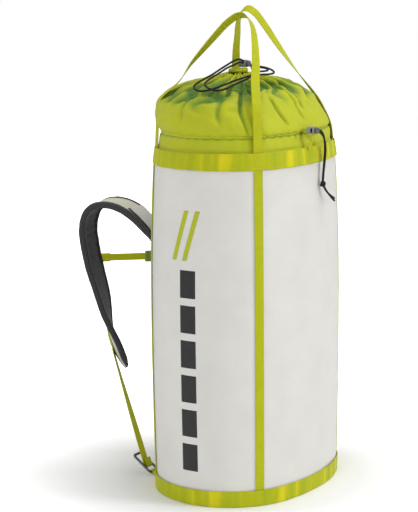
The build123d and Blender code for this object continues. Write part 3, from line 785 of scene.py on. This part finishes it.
def make_collar_top():
    """Gathered cloth from the hem up and in to the mouth."""
    reach = 0.2          # about the collar's radius, so that the levels are spaced along the cloth
    rows = smooth_curve([(scale * reach, 0, z, lean) for z, scale, lean in LEVELS], 120)
    angles = full_turn(840)
    level = np.linspace(0, 1, 120)
    angle, share = np.meshgrid(angles, level, indexing="ij")
    scale, z, lean = rows[:, 0] / reach, rows[:, 2], rows[:, 3]
    reach = collar_ring(angle, scale[None, :] + 0 * angle)
    grid = np.stack([reach * np.cos(angle) + LEAN[0] * lean, reach * np.sin(angle) + LEAN[1] * lean,
                     z + 0 * angle], axis=-1)
    du = np.roll(grid, -1, 0) - np.roll(grid, 1, 0)
    out = unit(np.cross(du, np.gradient(grid, axis=1)))
    sunk = gathers(angle, share)
    grid = grid + out * sunk[..., None]
    run = run_length(rows[:, :3])
    foot = np.linspace(0, 1.12, len(angles) + 1)
    top = shell("collar_top", grid, 0.0005, cloth, wrap=True, uv=lambda i, j: (foot[i], run[j]))
    # painted shade in the deeper folds of the gathered collar
    shade_folds(top, smoothstep(-sunk, 0.0040, 0.0135) * 0.85)
    return place(top, "bag", "collar_cloth", "collar_top")


def make_collar_foot():
    """Pleated cloth from inside the rim up to the hem."""
    angle, z = np.meshgrid(full_turn(720), np.linspace(0.691, 0.7432, 40), indexing="ij")
    shown = smoothstep(z, 0.711, 0.720) * smoothstep(0.7425 - z, 0.0, 0.010)
    turn = angle / (2 * math.pi)
    some = 0.5 + 0.5 * lattice_noise(63, 17, 3)(turn, 0 * turn)
    pleats = folds(uneven(angle, 52, 62), 0.9) * smoothstep(z, 0.714, 0.740) * some**1.5
    swell = 0.0012 * lattice_noise(71, 24, 3)(turn, (z - 0.713) / 0.03) * shown
    sunk = pleats * 0.0032 - 0.0036 * smoothstep(z, 0.735, 0.7430)
    inset = 0.0062 * smoothstep(z, 0.700, 0.7155) + 0.0022 * smoothstep(z, 0.7155, 0.742)
    offset = swell + sunk - inset
    reach = collar_ring(angle, 1.0, offset)
    grid = np.stack([reach * np.cos(angle), reach * np.sin(angle), z], axis=-1)
    foot = shell("collar_foot", grid, 0.0006, cloth, wrap=True)
    # painted shade in the deeper pleats and under the hem
    shade_folds(foot, smoothstep(-sunk, 0.0012, 0.0045) * 0.8)
    return place(foot, "bag", "collar_cloth", "collar_foot")


def ruffled_ring(name, angles, reach, middle, radius, slot, material, closed=False):
    """Gathered tunnel of cloth round a drawcord, or the cord itself."""
    out = np.stack([np.cos(angles), np.sin(angles), 0 * angles], axis=1)
    radius = (radius + 0 * angles)[:, None, None]
    sections = tube(out * reach[:, None] + middle, out[:, None, :], np.array([0, 0, 1.0]), radius, radius, 16)
    place(swept(name, sections, material, closed=closed), "bag", slot, name)


CORD_EXIT = 1.5 * math.pi + math.asin(-0.020 / 0.150)        # where the hem cord leaves its tunnel
HEM_INSET = -0.0152


def make_tunnels():
    angles = np.linspace(CORD_EXIT, CORD_EXIT + 2 * math.pi - 0.080, 900)
    reach = collar_ring(angles, 1.0, HEM_INSET)
    jitter = lattice_noise(73, 70, 2)(angles / (2 * math.pi), 0 * angles)
    middle = np.array([0, 0, HEM_HEIGHT]) + np.outer(jitter, [0, 0, 0.0006])
    ruffles = 1 + 0.16 * folds(uneven(angles, 64, 62), 0.8) + 0.08
    ruffled_ring("hem_tunnel", angles, reach, middle, 0.0036 * ruffles, "collar_cloth", cloth)
    ruffled_ring("hem_cord", angles[20:-20], reach[20:-20], middle[20:-20], CORD / 2, "cord", braid)
    angles = full_turn(400)
    ruffles = 1 + 0.42 * folds(uneven(angles, 29, 66), 0.8) + 0.1
    ruffled_ring("mouth_tunnel", angles, oval_radius(angles, 0.018, 0.014, 0.0132),
                 np.array([*LEAN, 0.8605]), 0.0042 * ruffles, "collar_cloth", cloth, True)


def make_lock_tape():
    """Sewn tape from the rim up to the lower cord lock."""
    centres = smooth_curve([(-0.026, -0.1605, 0.7050), (-0.026, -0.1640, 0.7145),
                            (-0.0255, -0.1680, 0.7270), (-0.0250, -0.1705, 0.7400)], 24)
    across = np.repeat([[1.0, 0, 0]], 24, axis=0)
    tape_piece = ribbon("side_lock_tape", centres, across, 0.0075, 0.0011, lime)
    place(tape_piece, "bag", "webbing", "side_lock_tape")


make_collar_top()
make_collar_foot()
make_tunnels()
make_lock_tape()


# ---- carry handles ----

def rounded(points, rounds=4):
    """Corners cut again and again, as in a bent strap."""
    p = np.asarray(points, float)
    for _ in range(rounds):
        low, high = 0.75 * p[:-1] + 0.25 * p[1:], 0.25 * p[:-1] + 0.75 * p[1:]
        p = np.vstack([p[:1], np.stack([low, high], axis=1).reshape(-1, p.shape[1]), p[-1:]])
    return p


HANDLE_FOOT = 0.1577        # X of the line that a handle swings about


def make_handle(name, side, front, back, rise):
    """Webbing loop from a front corner over the top to the back corner. Each leg is listed upwards.
    At its roots the webbing lies flat on the body, and higher up flat in the tilted loop."""
    centres = smooth_curve(front + back[::-1], 201)
    flat = unit(np.cross([0, 1.0, 0], rise))
    flat = flat * np.sign(flat[0])
    behind = np.sign(centres[:, 1] - 0.003)
    loose = side * behind < 0               # these two legs turn away from the cloth
    root = np.stack([np.where(loose, 0.63, 0.815), -side * behind * np.where(loose, 0.777, 0.579),
                     0 * behind], axis=1)
    slow = smoothstep(side * centres[:, 1], -0.02, 0.02) * 0.07
    turned = smoothstep((centres[:, 2] - 0.790) / (0.170 + slow), 0, 1)[:, None]
    across = unit(flat * turned + root * (1 - turned))
    body = "left_handle" if side < 0 else "right_handle"
    place_between(ribbon(name, centres, across, WEBBING_WIDTH, 0.0016, lime), body,
                  (side * HANDLE_FOOT, 0, 0.714), (side * HANDLE_FOOT, 0, 0.742), "webbing", name)


make_handle("handle_left", -1,
            [(-0.1532, -0.1184, 0.7100), (-0.1518, -0.1173, 0.745), (-0.1502, -0.1158, 0.775),
             (-0.1440, -0.1110, 0.806), (-0.1139, -0.0905, 0.8435), (-0.0811, -0.0725, 0.882),
             (-0.0477, -0.0510, 0.921), (-0.0252, -0.0335, 0.9475), (-0.0116, -0.0175, 0.9634),
             (-0.0050, -0.0020, 0.9715)],
            [(-0.1532, 0.1184, 0.7100), (-0.1518, 0.1173, 0.745), (-0.1505, 0.1164, 0.775),
             (-0.1485, 0.1145, 0.806), (-0.1155, 0.0880, 0.8415), (-0.0860, 0.0770, 0.876),
             (-0.0650, 0.0650, 0.900), (-0.0415, 0.0490, 0.9284), (-0.0169, 0.0310, 0.9572),
             (-0.0065, 0.0130, 0.9705)], (-0.145, 0, -0.170))
make_handle("handle_right", 1,
            [(0.1532, -0.1184, 0.7100), (0.1515, -0.1130, 0.745), (0.1500, -0.0985, 0.775),
             (0.1490, -0.0800, 0.8028), (0.1156, -0.0595, 0.8485), (0.0740, -0.0370, 0.9055),
             (0.0416, -0.0221, 0.9498), (0.0230, -0.0100, 0.9760), (0.0160, 0.0030, 0.9850)],
            [(0.1532, 0.1184, 0.7100), (0.1518, 0.1173, 0.745), (0.1502, 0.1164, 0.775),
             (0.1440, 0.1120, 0.806), (0.1255, 0.1000, 0.836), (0.1009, 0.0831, 0.8686),
             (0.0804, 0.0699, 0.8967), (0.0580, 0.0534, 0.9274), (0.0359, 0.0375, 0.9576),
             (0.0200, 0.0190, 0.9800)], (0.138, 0, -0.189))


# ---- shoulder pads ----

PAD_MID, PAD_EDGE = 0.0056, 0.0045       # half thickness at the middle and under the edge tape
CLOTH = 0.0011                           # thickness of a pad's cover, lining and flap
# Each pad: its side, its middle line (Y and Z in millimetres, downwards), and along its length the
# twist in degrees and the shift in Y in millimetres.
PADS = {
    "left": (-1,
             [(162.5, 512), (176, 531), (216, 568), (268, 583), (318, 573), (341, 528), (329, 460),
              (309, 390), (286, 312), (250, 228)],
             [(0.0, 0), (0.2, 3), (0.42, 8), (0.60, 8), (0.74, 17), (0.82, 32), (0.892, 50),
              (0.94, 47), (1.0, 38)],
             [(0.0, 0), (0.6, 0), (0.703, -3), (0.76, -1), (0.808, 1), (0.892, 1.6), (0.95, -2),
              (1, -8)]),
    "right": (1,
              [(162.5, 512), (176, 531), (186, 583), (208, 614), (234, 612), (249, 575), (250, 505),
               (247, 425), (240, 335), (222, 214)],
              [(0.0, 0), (0.3, -2), (0.6, -6), (0.8, -14), (1.0, -18)],
              [(0, 0), (1, 0)]),
}


PAD_TOP = 0.512          # height of the pads' upper ends


def back_wall(x, z):
    """Y of the back wall at one X and height."""
    angle = np.linspace(0.3, math.pi - 0.3, 400)
    ring = body_point(angle, np.full_like(angle, z))
    return np.interp(x, ring[::-1, 0], ring[::-1, 1])


class Pad:
    """A shoulder strap's middle line and frame, with its twist towards the lower end."""

    def __init__(self, side):
        self.sign, points, twist, shift = PADS[side]
        self.x = self.sign * HARNESS_X
        self.beside = 1.0 if side == "left" else 0.0
        self.line = resampled(rounded([(self.x, y / 1000, z / 1000) for y, z in points], 4), 241)
        self.share = np.linspace(0, 1, 241)
        shares, moves = zip(*shift)
        self.line[:, 1] += even(np.interp(self.share, shares, moves)) / 1000
        self.length = np.linalg.norm(np.diff(self.line, axis=0), axis=1).sum()
        self.tangent = unit(np.gradient(self.line, axis=0))
        turn = np.radians(even(np.interp(self.share, *zip(*twist))))[:, None]
        x = np.array([[1.0, 0, 0]])
        up = unit(np.cross(x, self.tangent))
        self.across = np.cos(turn) * x + np.sin(turn) * up
        self.out = np.cross(self.across, self.tangent)
        self.pivot = tuple(self.line[4]), tuple(self.line[26])

    def at(self, share, s, lift):
        """Points at a share of the length, s across and lift outwards (arrays of one shape).
        The upper end follows the curve of the back wall, and both ends are thinner."""
        line, across, out = (read(share, self.share, a) for a in (self.line, self.across, self.out))
        lift = lift * (0.40 + 0.60 * smoothstep(share, 0.0, 0.05))
        lift = lift * (0.55 + 0.45 * smoothstep(1 - share, 0.0, 0.03))
        points = line + across * s[..., None] + out * lift[..., None]
        wall = back_wall(self.x + s, PAD_TOP) - back_wall(self.x, PAD_TOP)
        points[..., 1] += wall * (1 - smoothstep(share, 0.0, 0.16))
        return points


def even(values, width=25):
    """Running mean, to round off a table's corners."""
    return np.convolve(np.pad(values, width // 2, mode="edge"), np.ones(width) / width, mode="valid")


def cushion(s):
    """Half thickness of the pad at a distance s from its middle."""
    w = np.clip(np.abs(s) / (PAD_WIDTH / 2), 0, 1)
    return PAD_EDGE + (PAD_MID - PAD_EDGE) * np.sqrt(np.maximum(1 - w**3.2, 0))


def tape_section():
    """Outline of the edge tape folded round a pad's edge: across the pad and outwards."""
    turn = np.linspace(math.pi / 2, -math.pi / 2, 9)
    bend = np.stack([np.cos(turn), np.sin(turn)], axis=1)
    outer = bend * [0.0022, PAD_EDGE + 0.0016] + [0.0006, 0]
    inner = bend[::-1] * [0.0016, PAD_EDGE + 0.0008]
    high, low = PAD_EDGE + 0.0023, PAD_EDGE + 0.0013
    return np.vstack([[(-0.0062, high)], outer, [(-0.0062, -high), (-0.0062, -low)], inner,
                      [(-0.0062, low)]])


def bend_of(share):
    """Where along the pad the inner face is squeezed by the bend."""
    return smoothstep(share, 0.14, 0.30) * (1 - smoothstep(share, 0.50, 0.66))


def domed(s):
    """1 at the pad's middle and 0 at its edges."""
    return 1 - (np.abs(s) / (PAD_WIDTH / 2)) ** 4


def make_pad(side):
    """One shoulder pad with all its layers. It gives the lower end of its webbing."""
    pad = Pad(side)
    body = side + "_pad"
    seed = 81 if side == "left" else 91
    half = PAD_WIDTH / 2 - 0.0020           # the layers end inside the edge tape
    s, along = np.linspace(-half, half, 33), np.linspace(0, 1, 260)

    def crossing(piece, slot, *replaced):
        """A layer that is sewn to the bag at its upper end."""
        place_between(piece, body, *pad.pivot, slot, *replaced)

    # outer cover
    across, share = np.meshgrid(s, along, indexing="ij")
    soft = 0.0005 * lattice_noise(seed, 10, 34)(across / 0.08 + 0.5, share) * domed(across)
    cover = shell("pad_cover_" + side, pad.at(share, across, cushion(across) + soft), CLOTH, cream,
                  uv=lambda i, j: (s[i], along[j] * pad.length))
    crossing(cover, "coated_cloth", "pad_cover_" + side)

    # lining, creased where it is squeezed
    share, across = np.meshgrid(along, s, indexing="ij")
    creases = lattice_noise(seed + 2, 4, 60)(across / 0.16 + 0.5 + 0.15 * share, share)
    raised = (0.0026 * bend_of(share) + 0.0005) * np.abs(creases) ** 0.7 * domed(across)
    inner = shell("pad_lining_" + side, pad.at(share, across, raised - cushion(across)), CLOTH,
                  lining, uv=lambda i, j: (along[i] * pad.length, s[j]))
    crossing(inner, "lining", "pad_lining_" + side)

    # foam
    core = np.linspace(-half + 0.002, half - 0.002, 15)
    rim = np.concatenate([core, core[::-1]])
    thick = np.concatenate([cushion(core) - 0.0014, -cushion(core[::-1]) + 0.0032])
    share = np.repeat(np.linspace(0.05, 0.985, 90)[:, None], len(rim), axis=1)
    sections = pad.at(share, rim[None, :] + 0 * share, thick[None, :] + 0 * share)
    place(swept("pad_foam_" + side, sections, foam), body, "foam", "pad_foam_" + side)

    # edge tape: a folded strip round each edge
    name, parts = "pad_binding_" + side, []
    for edge in (-1, 1):
        loop = tape_section()[::-edge]
        share = np.repeat(along[:, None], len(loop), axis=1)
        pucker = 1 + lattice_noise(seed + 5 + edge, 2, 70)(0 * share, share)
        pucker = 1 + (0.025 + 0.055 * bend_of(share)) * pucker
        from_middle = edge * (PAD_WIDTH / 2 - 0.0026 + loop[None, :, 0]) + 0 * share
        points = pad.at(share, from_middle, loop[None, :, 1] * pucker)
        parts.append(swept(name + str(len(parts)), points, tape))
    crossing(joined(name, parts), "binding", name)

    # white flap over the top seam, edged along one side with black tape
    s = np.linspace(-half + 0.010, half - 0.002, 21)
    rows = np.linspace(0.004, 0.150, 50)
    edge_s = np.linspace(s[0] - 0.0012, s[0] + 0.0024, 5)
    across, share = np.meshgrid(s, rows, indexing="ij")
    lift = cushion(across) + 0.0022 + 0.0012 * smoothstep(share, 0.12, 0.150)
    flap = shell("anchor_flap_" + side, pad.at(share, across, lift), CLOTH, white,
                 uv=lambda i, j: (s[i], rows[j] * pad.length))
    crossing(flap, "coated_cloth", "anchor_flap_" + side)
    across, share = np.meshgrid(edge_s, rows, indexing="ij")
    lift = cushion(across) + 0.0031 + 0.0012 * smoothstep(share, 0.12, 0.150)
    crossing(shell("flap_edge_" + side, pad.at(share, across, lift), 0.0016, tape), "binding")

    # outer webbing sewn along the lower half
    top, bottom = (np.interp(-z, -pad.line[120:, 2], pad.share[120:]) for z in (0.330, 0.278))
    rows = np.linspace(top, bottom, 60)
    middle = WEBBING_WIDTH * pad.beside * np.ones_like(rows)
    centres = pad.at(rows, middle, cushion(middle) + 0.0013)
    across = read(rows, pad.share, pad.across)
    strap = ribbon("pad_webbing_" + side, centres, across, WEBBING_WIDTH, 0.0014, lime)
    place(strap, body, "webbing", "pad_webbing_" + side)
    lines = []
    rows, middle = rows[3:-8], middle[3:-8]
    for edge in (-0.0072, 0.0072):
        at = pad.at(rows, middle + edge, cushion(middle) + 0.0021)
        lines.append((at, at - pad.at(rows, middle + edge, 0 * rows)))
    place(stitches("pad_stitches_" + side, lines, lime_thread), body, "webbing")
    return centres[-1], across[-1]


# ---- adjusters, ladder locks and tabs ----

LOCK_FOOT = (0.178, 0.007)           # Y and Z of a ladder lock's lower end
LOCK_LEAN = math.radians(36.7)       # rise of the lock above the floor
MIDDLE_BAR = 0.018                   # from the lower end to the middle bar


def make_adjuster(side, top, across_top):
    """Webbing from the pad's webbing to the ladder lock and round its middle bar, with a short tail."""
    sign = -1 if side == "left" else 1
    bar = np.array([sign * HARNESS_X, LOCK_FOOT[0] + MIDDLE_BAR * math.cos(LOCK_LEAN),
                    LOCK_FOOT[1] + MIDDLE_BAR * math.sin(LOCK_LEAN)])
    pull = unit((top - bar) * [0, 1, 1])
    beside = np.array([0, pull[2], -pull[1]])
    wrap = math.hypot(0.004, 0.0034) / 2 + 0.0013        # outside the bar by more than half the webbing
    around = [bar + beside * wrap * math.cos(t) - pull * wrap * math.sin(t)
              for t in np.linspace(0, math.pi, 13)]
    tail = [around[-1] + pull * d for d in (0.004, 0.008, 0.012, 0.016)]
    first = around[0]
    sag = np.array([0, 0, -0.0015])
    hanging = [top * (1 - t) + first * t + sag * math.sin(math.pi * t) for t in np.linspace(0, 1, 41)[:-1]]
    centres = resampled(np.array(hanging + around + tail), 150)
    run = np.linspace(0, 1, 150)[:, None]
    turn = 1 - 0.4 * smoothstep(run, 0.0, 0.05) - 0.6 * smoothstep(run, 0.0, 0.80)
    across = unit(across_top[None, :] * turn + np.array([[1.0, 0, 0]]) * (1 - turn))
    name = "adjuster_webbing_" + side
    place_between(ribbon(name, centres, across, WEBBING_WIDTH, 0.0014, lime), side + "_pad",
                  tuple(first), tuple(top), "webbing", name)


def make_ladder_lock(side):
    """Cast steel frame with a middle bar."""
    sign = -1 if side == "left" else 1
    run = np.array([0, math.cos(LOCK_LEAN), math.sin(LOCK_LEAN)])
    face = np.array([0, -run[2], run[1]])
    x = np.array([1.0, 0, 0])
    foot = np.array([sign * HARNESS_X, *LOCK_FOOT])
    half, long, corner = 0.0137, 0.052, 0.0055
    turn = np.linspace(0, math.pi / 2, 9)
    outline = []
    for cx, cy, start in ((half - corner, long - corner, 0), (-half + corner, long - corner, 1),
                          (-half + corner, corner, 2), (half - corner, corner, 3)):
        outline += [(cx + corner * math.cos(t + start * math.pi / 2),
                     cy + corner * math.sin(t + start * math.pi / 2)) for t in turn]
    outline = np.array(outline)
    centres = foot + outline[:, :1] * x + outline[:, 1:] * run
    side_way = np.cross(face, unit(np.roll(centres, -1, 0) - np.roll(centres, 1, 0)))
    frame_tube = tube(centres, side_way[:, None], face, 0.0029, 0.0025, 16)
    bar = foot + MIDDLE_BAR * run + np.linspace(-half, half, 9)[:, None] * x
    bar_tube = tube(bar, run, face, 0.0020, 0.0017, 16)
    lock = joined("ladder_lock_" + side + "_form",
                  [swept("lock_frame_" + side, frame_tube, steel, closed=True),
                   swept("lock_bar_" + side, bar_tube, steel)])
    place(lock, side + "_ladder_lock", "steel", "ladder_lock_" + side)


for side in ("left", "right"):
    make_ladder_lock(side)
webbing_ends = {side: make_pad(side) for side in ("left", "right")}
for side, webbing_end in webbing_ends.items():
    make_adjuster(side, *webbing_end)


# ---- sternum strap ----

# Ends of the sternum strap's line, on the two pads.
STERNUM_LEFT = np.array([-0.060, 0.3265, 0.452])
STERNUM_RIGHT = np.array([0.060, 0.248, 0.444])


def make_sternum(name, start, end, body, width, thickness, *replaced):
    """Straight upright webbing on the line between the pads, from start to end along it."""
    run = unit(STERNUM_RIGHT - STERNUM_LEFT)
    centres = STERNUM_LEFT + run * np.linspace(start, end, 50)[:, None]
    upright = np.repeat([[0, 0, 1.0]], 50, axis=0)
    place(ribbon(name, centres, upright, width, thickness, lime), body, "webbing", *replaced)


make_sternum("sternum_webbing_left", -0.004, 0.1057, "left_pad", 0.015, 0.0014, "sternum_webbing_left")
make_sternum("sternum_loop", -0.004, 0.0195, "left_pad", 0.0185, 0.0044)
make_sternum("sternum_webbing_right", 0.1360, 0.1450, "right_pad", 0.015, 0.0014, "sternum_webbing_right")


# ---- free cords and their knots ----

def free_cord(name, route, material):
    """Cord along a route, a curve of constant thickness."""
    name = name + "_form"
    curve = bpy.data.curves.new(name, "CURVE")
    curve.dimensions = "3D"
    line = curve.splines.new("NURBS")
    line.points.add(len(route) - 1)
    for point, (x, y, z) in zip(line.points, route):
        point.co = (x, y, z, 1)
    line.order_u = 3
    line.use_endpoint_u = True
    line.resolution_u = 12
    curve.bevel_depth = CORD / 2
    curve.bevel_resolution = 5
    curve.use_fill_caps = True
    curve.materials.append(material)
    return add_object(name, curve)


def make_knot(name, centre, tilt, size=(0.0085, 0.0085, 0.0075), radius=0.0021):
    """Overhand knot: a tube along a trefoil."""
    t = full_turn(160)
    line = np.stack([np.sin(t) + 2 * np.sin(2 * t), np.cos(t) - 2 * np.cos(2 * t), -np.sin(3 * t)], axis=1)
    line = line * np.array(size) / 2 / np.abs(line).max(axis=0)
    turned = np.array(Matrix.Rotation(tilt[1], 3, "Y") @ Matrix.Rotation(tilt[2], 3, "Z"))
    line = line @ turned.T + np.array(centre)
    tangent = unit(np.roll(line, -1, 0) - np.roll(line, 1, 0))
    side = unit(np.cross(tangent, line - np.array(centre)))
    up = np.cross(side, tangent)
    sections = tube(line, up[:, None], side[:, None], radius, radius, 12)
    return place(swept(name, sections, braid, closed=True), "bag", "cord", name)


SIDE_A = [(-0.030, -0.171, 0.7502), (-0.008, -0.171, 0.7502), (0.014, -0.172, 0.741),
          (0.024, -0.1715, 0.721), (0.025, -0.171, 0.698), (0.0225, -0.170, 0.675),
          (0.019, -0.1695, 0.652), (0.017, -0.170, 0.634), (0.028, -0.175, 0.615),
          (0.044, -0.183, 0.603)]
SIDE_B = [(-0.030, -0.171, 0.7458), (-0.009, -0.171, 0.7458), (0.010, -0.1745, 0.7365),
          (0.019, -0.1755, 0.718), (0.0205, -0.175, 0.697), (0.0185, -0.1735, 0.675),
          (0.015, -0.173, 0.653), (0.0135, -0.1725, 0.635), (0.023, -0.179, 0.615),
          (0.037, -0.187, 0.599)]
MOUTH_OUTER = [(0.0089, 0.003, 0.8714), (-0.0087, 0.003, 0.8846), (-0.027, 0.009, 0.882),
               (-0.042, 0.020, 0.872), (-0.064, 0.024, 0.864), (-0.092, 0.022, 0.857),
               (-0.120, 0.026, 0.849), (-0.141, 0.031, 0.842), (-0.156, 0.027, 0.836),
               (-0.166, 0.015, 0.8315), (-0.168, 0.001, 0.830), (-0.162, -0.013, 0.832),
               (-0.142, -0.028, 0.839), (-0.106, -0.038, 0.848), (-0.076, -0.0425, 0.852),
               (-0.049, -0.043, 0.855), (-0.026, -0.051, 0.855), (-0.002, -0.060, 0.854),
               (0.025, -0.055, 0.855), (0.044, -0.038, 0.859), (0.052, -0.018, 0.863),
               (0.040, -0.004, 0.866), (0.024, -0.0045, 0.867)]
MOUTH_INNER = [(0.0063, 0.003, 0.8678), (-0.0097, 0.003, 0.8798), (-0.027, 0.005, 0.8745),
               (-0.044, 0.016, 0.868), (-0.066, 0.017, 0.861), (-0.096, 0.014, 0.855),
               (-0.126, 0.013, 0.848), (-0.148, 0.006, 0.843), (-0.161, -0.004, 0.840),
               (-0.168, -0.017, 0.836), (-0.166, -0.030, 0.832), (-0.154, -0.041, 0.833),
               (-0.132, -0.048, 0.840), (-0.107, -0.052, 0.846), (-0.079, -0.055, 0.851),
               (-0.052, -0.051, 0.859), (-0.028, -0.043, 0.861), (-0.003, -0.038, 0.859),
               (0.017, -0.042, 0.859), (0.034, -0.035, 0.861), (0.038, -0.020, 0.864),
               (0.023, -0.010, 0.865)]

side_knot = make_knot("side_cord_knot", (0.0155, -0.171, 0.635), (0, 0.14, 0.3))
mouth_knot = make_knot("mouth_cord_knot", (0.022, -0.005, 0.8665), (0, 1.40, 0.2))
for cord_name, route, length, knot, far in (
        ("side_cord_a", SIDE_A, 0.1975, side_knot, "bare"),
        ("side_cord_b", SIDE_B, 0.1904, side_knot, "bare"),
        ("mouth_cord_outer", MOUTH_OUTER, 0.503, mouth_knot, "knot"),
        ("mouth_cord_inner", MOUTH_INNER, 0.453, mouth_knot, "knot")):
    strand = free_cord(cord_name, route, braid_material(cord_name + "_braid", BRAID, length))
    place(strand, "bag", "cord", cord_name)


# ---- pieces shown as in the CAD model ----

def finish_cad(material, slot, *names):
    for name in names:
        nodes[name].data.materials.clear()
        nodes[name].data.materials.append(material)


finish_cad(white_cad, "coated_cloth", "base_panel", "harness_patch")
finish_cad(lime_cad, "webbing", "lower_tab_left", "lower_tab_right")
finish_cad(green_plastic, "green_plastic", "sternum_buckle_female", "sternum_buckle_male")
finish_cad(grey, "grey_plastic", "mouth_lock_barrel", "side_lock_barrel")
finish_cad(dark_grey, "grey_plastic", "mouth_lock_button", "side_lock_button")
finish_cad(steel, "spring_steel", "mouth_lock_spring", "side_lock_spring")
for spring, joint, seat in (("mouth_lock_spring", "mouth_lock_press", (0.002, 0.0115, 0.8738)),
                            ("side_lock_spring", "side_lock_press", (-0.026, -0.1625, 0.748))):
    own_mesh(nodes[spring])
finish_cad(braid, "cord", "mouth_ring_cord")


# ---- camera, light and floor ----

def area_light(name, at, target, size, power):
    """Round white light at a place, turned towards its target."""
    light = bpy.data.lights.new(name, "AREA")
    light.shape, light.size, light.energy = "DISK", size, power
    obj = add_object(name, light)
    obj.location = at
    obj.rotation_euler = (Vector(target) - Vector(at)).to_track_quat("-Z", "Y").to_euler()


# The camera's axes: to the right, up and ahead.
right = Vector((0.52864, -0.84880, -0.00943))
up = Vector((0.15723, 0.08700, 0.98372))
forward = Vector((0.83416, 0.52152, -0.17945))
camera_data = bpy.data.cameras.new("camera")
camera_data.lens, camera_data.sensor_width = 122.4, 36
camera_data.clip_end = 50
camera = add_object("camera", camera_data)
camera.matrix_world = (Matrix.Translation((-3.0636, -1.8236, 1.1255))
                       @ Matrix((right, up, -forward)).transposed().to_4x4())
bpy.context.scene.camera = camera

area_light("key", (0.9, -3.3, 2.1), (0, 0, 0.45), 1.2, 47)
area_light("fill", (-3.4, -0.6, 1.4), (0, 0, 0.4), 2.0, 24)
area_light("back", (-1.2, 3.0, 2.0), (0, 0.1, 0.5), 1.6, 18)
area_light("top", (0.5, -0.6, 3.2), (0, 0, 0.6), 1.2, 26)

world = bpy.data.worlds.new("studio")
world.use_nodes = True
studio = world.node_tree
seen = studio.nodes.new("ShaderNodeLightPath")
strength = studio.nodes.new("ShaderNodeMapRange")
strength.inputs["To Min"].default_value = 0.46
strength.inputs["To Max"].default_value = 1.0
studio.links.new(seen.outputs["Is Camera Ray"], strength.inputs["Value"])
studio.links.new(strength.outputs["Result"], studio.nodes["Background"].inputs[1])
studio.nodes["Background"].inputs[0].default_value = (1, 1, 1, 1)
bpy.context.scene.world = world
bpy.context.scene.view_settings.view_transform = "Standard"

floor_nodes = Nodes("floor_paper")          # fades into the white backdrop away from the bag
away = floor_nodes.node("VectorMath", out=1, settings={"operation": "LENGTH"},
                        i0=floor_nodes.coordinates(False))
glow = floor_nodes.math("MULTIPLY", floor_nodes.ramp(away, 0.24, 0.85), floor_nodes.node("LightPath"))
floor_nodes.put(floor_nodes.bsdf.inputs["Emission Strength"], glow)
floor_nodes.bsdf.inputs["Emission Color"].default_value = (1, 1, 1, 1)
floor_material = floor_nodes.finish((0.97, 0.97, 0.97, 1), 0.8)
corners = [(-6, -6), (6, -6), (6, 6), (-6, 6)]
floor = add_mesh("floor", [(x, y, -0.0005) for x, y in corners], [(0, 1, 2, 3)], corners, floor_material)
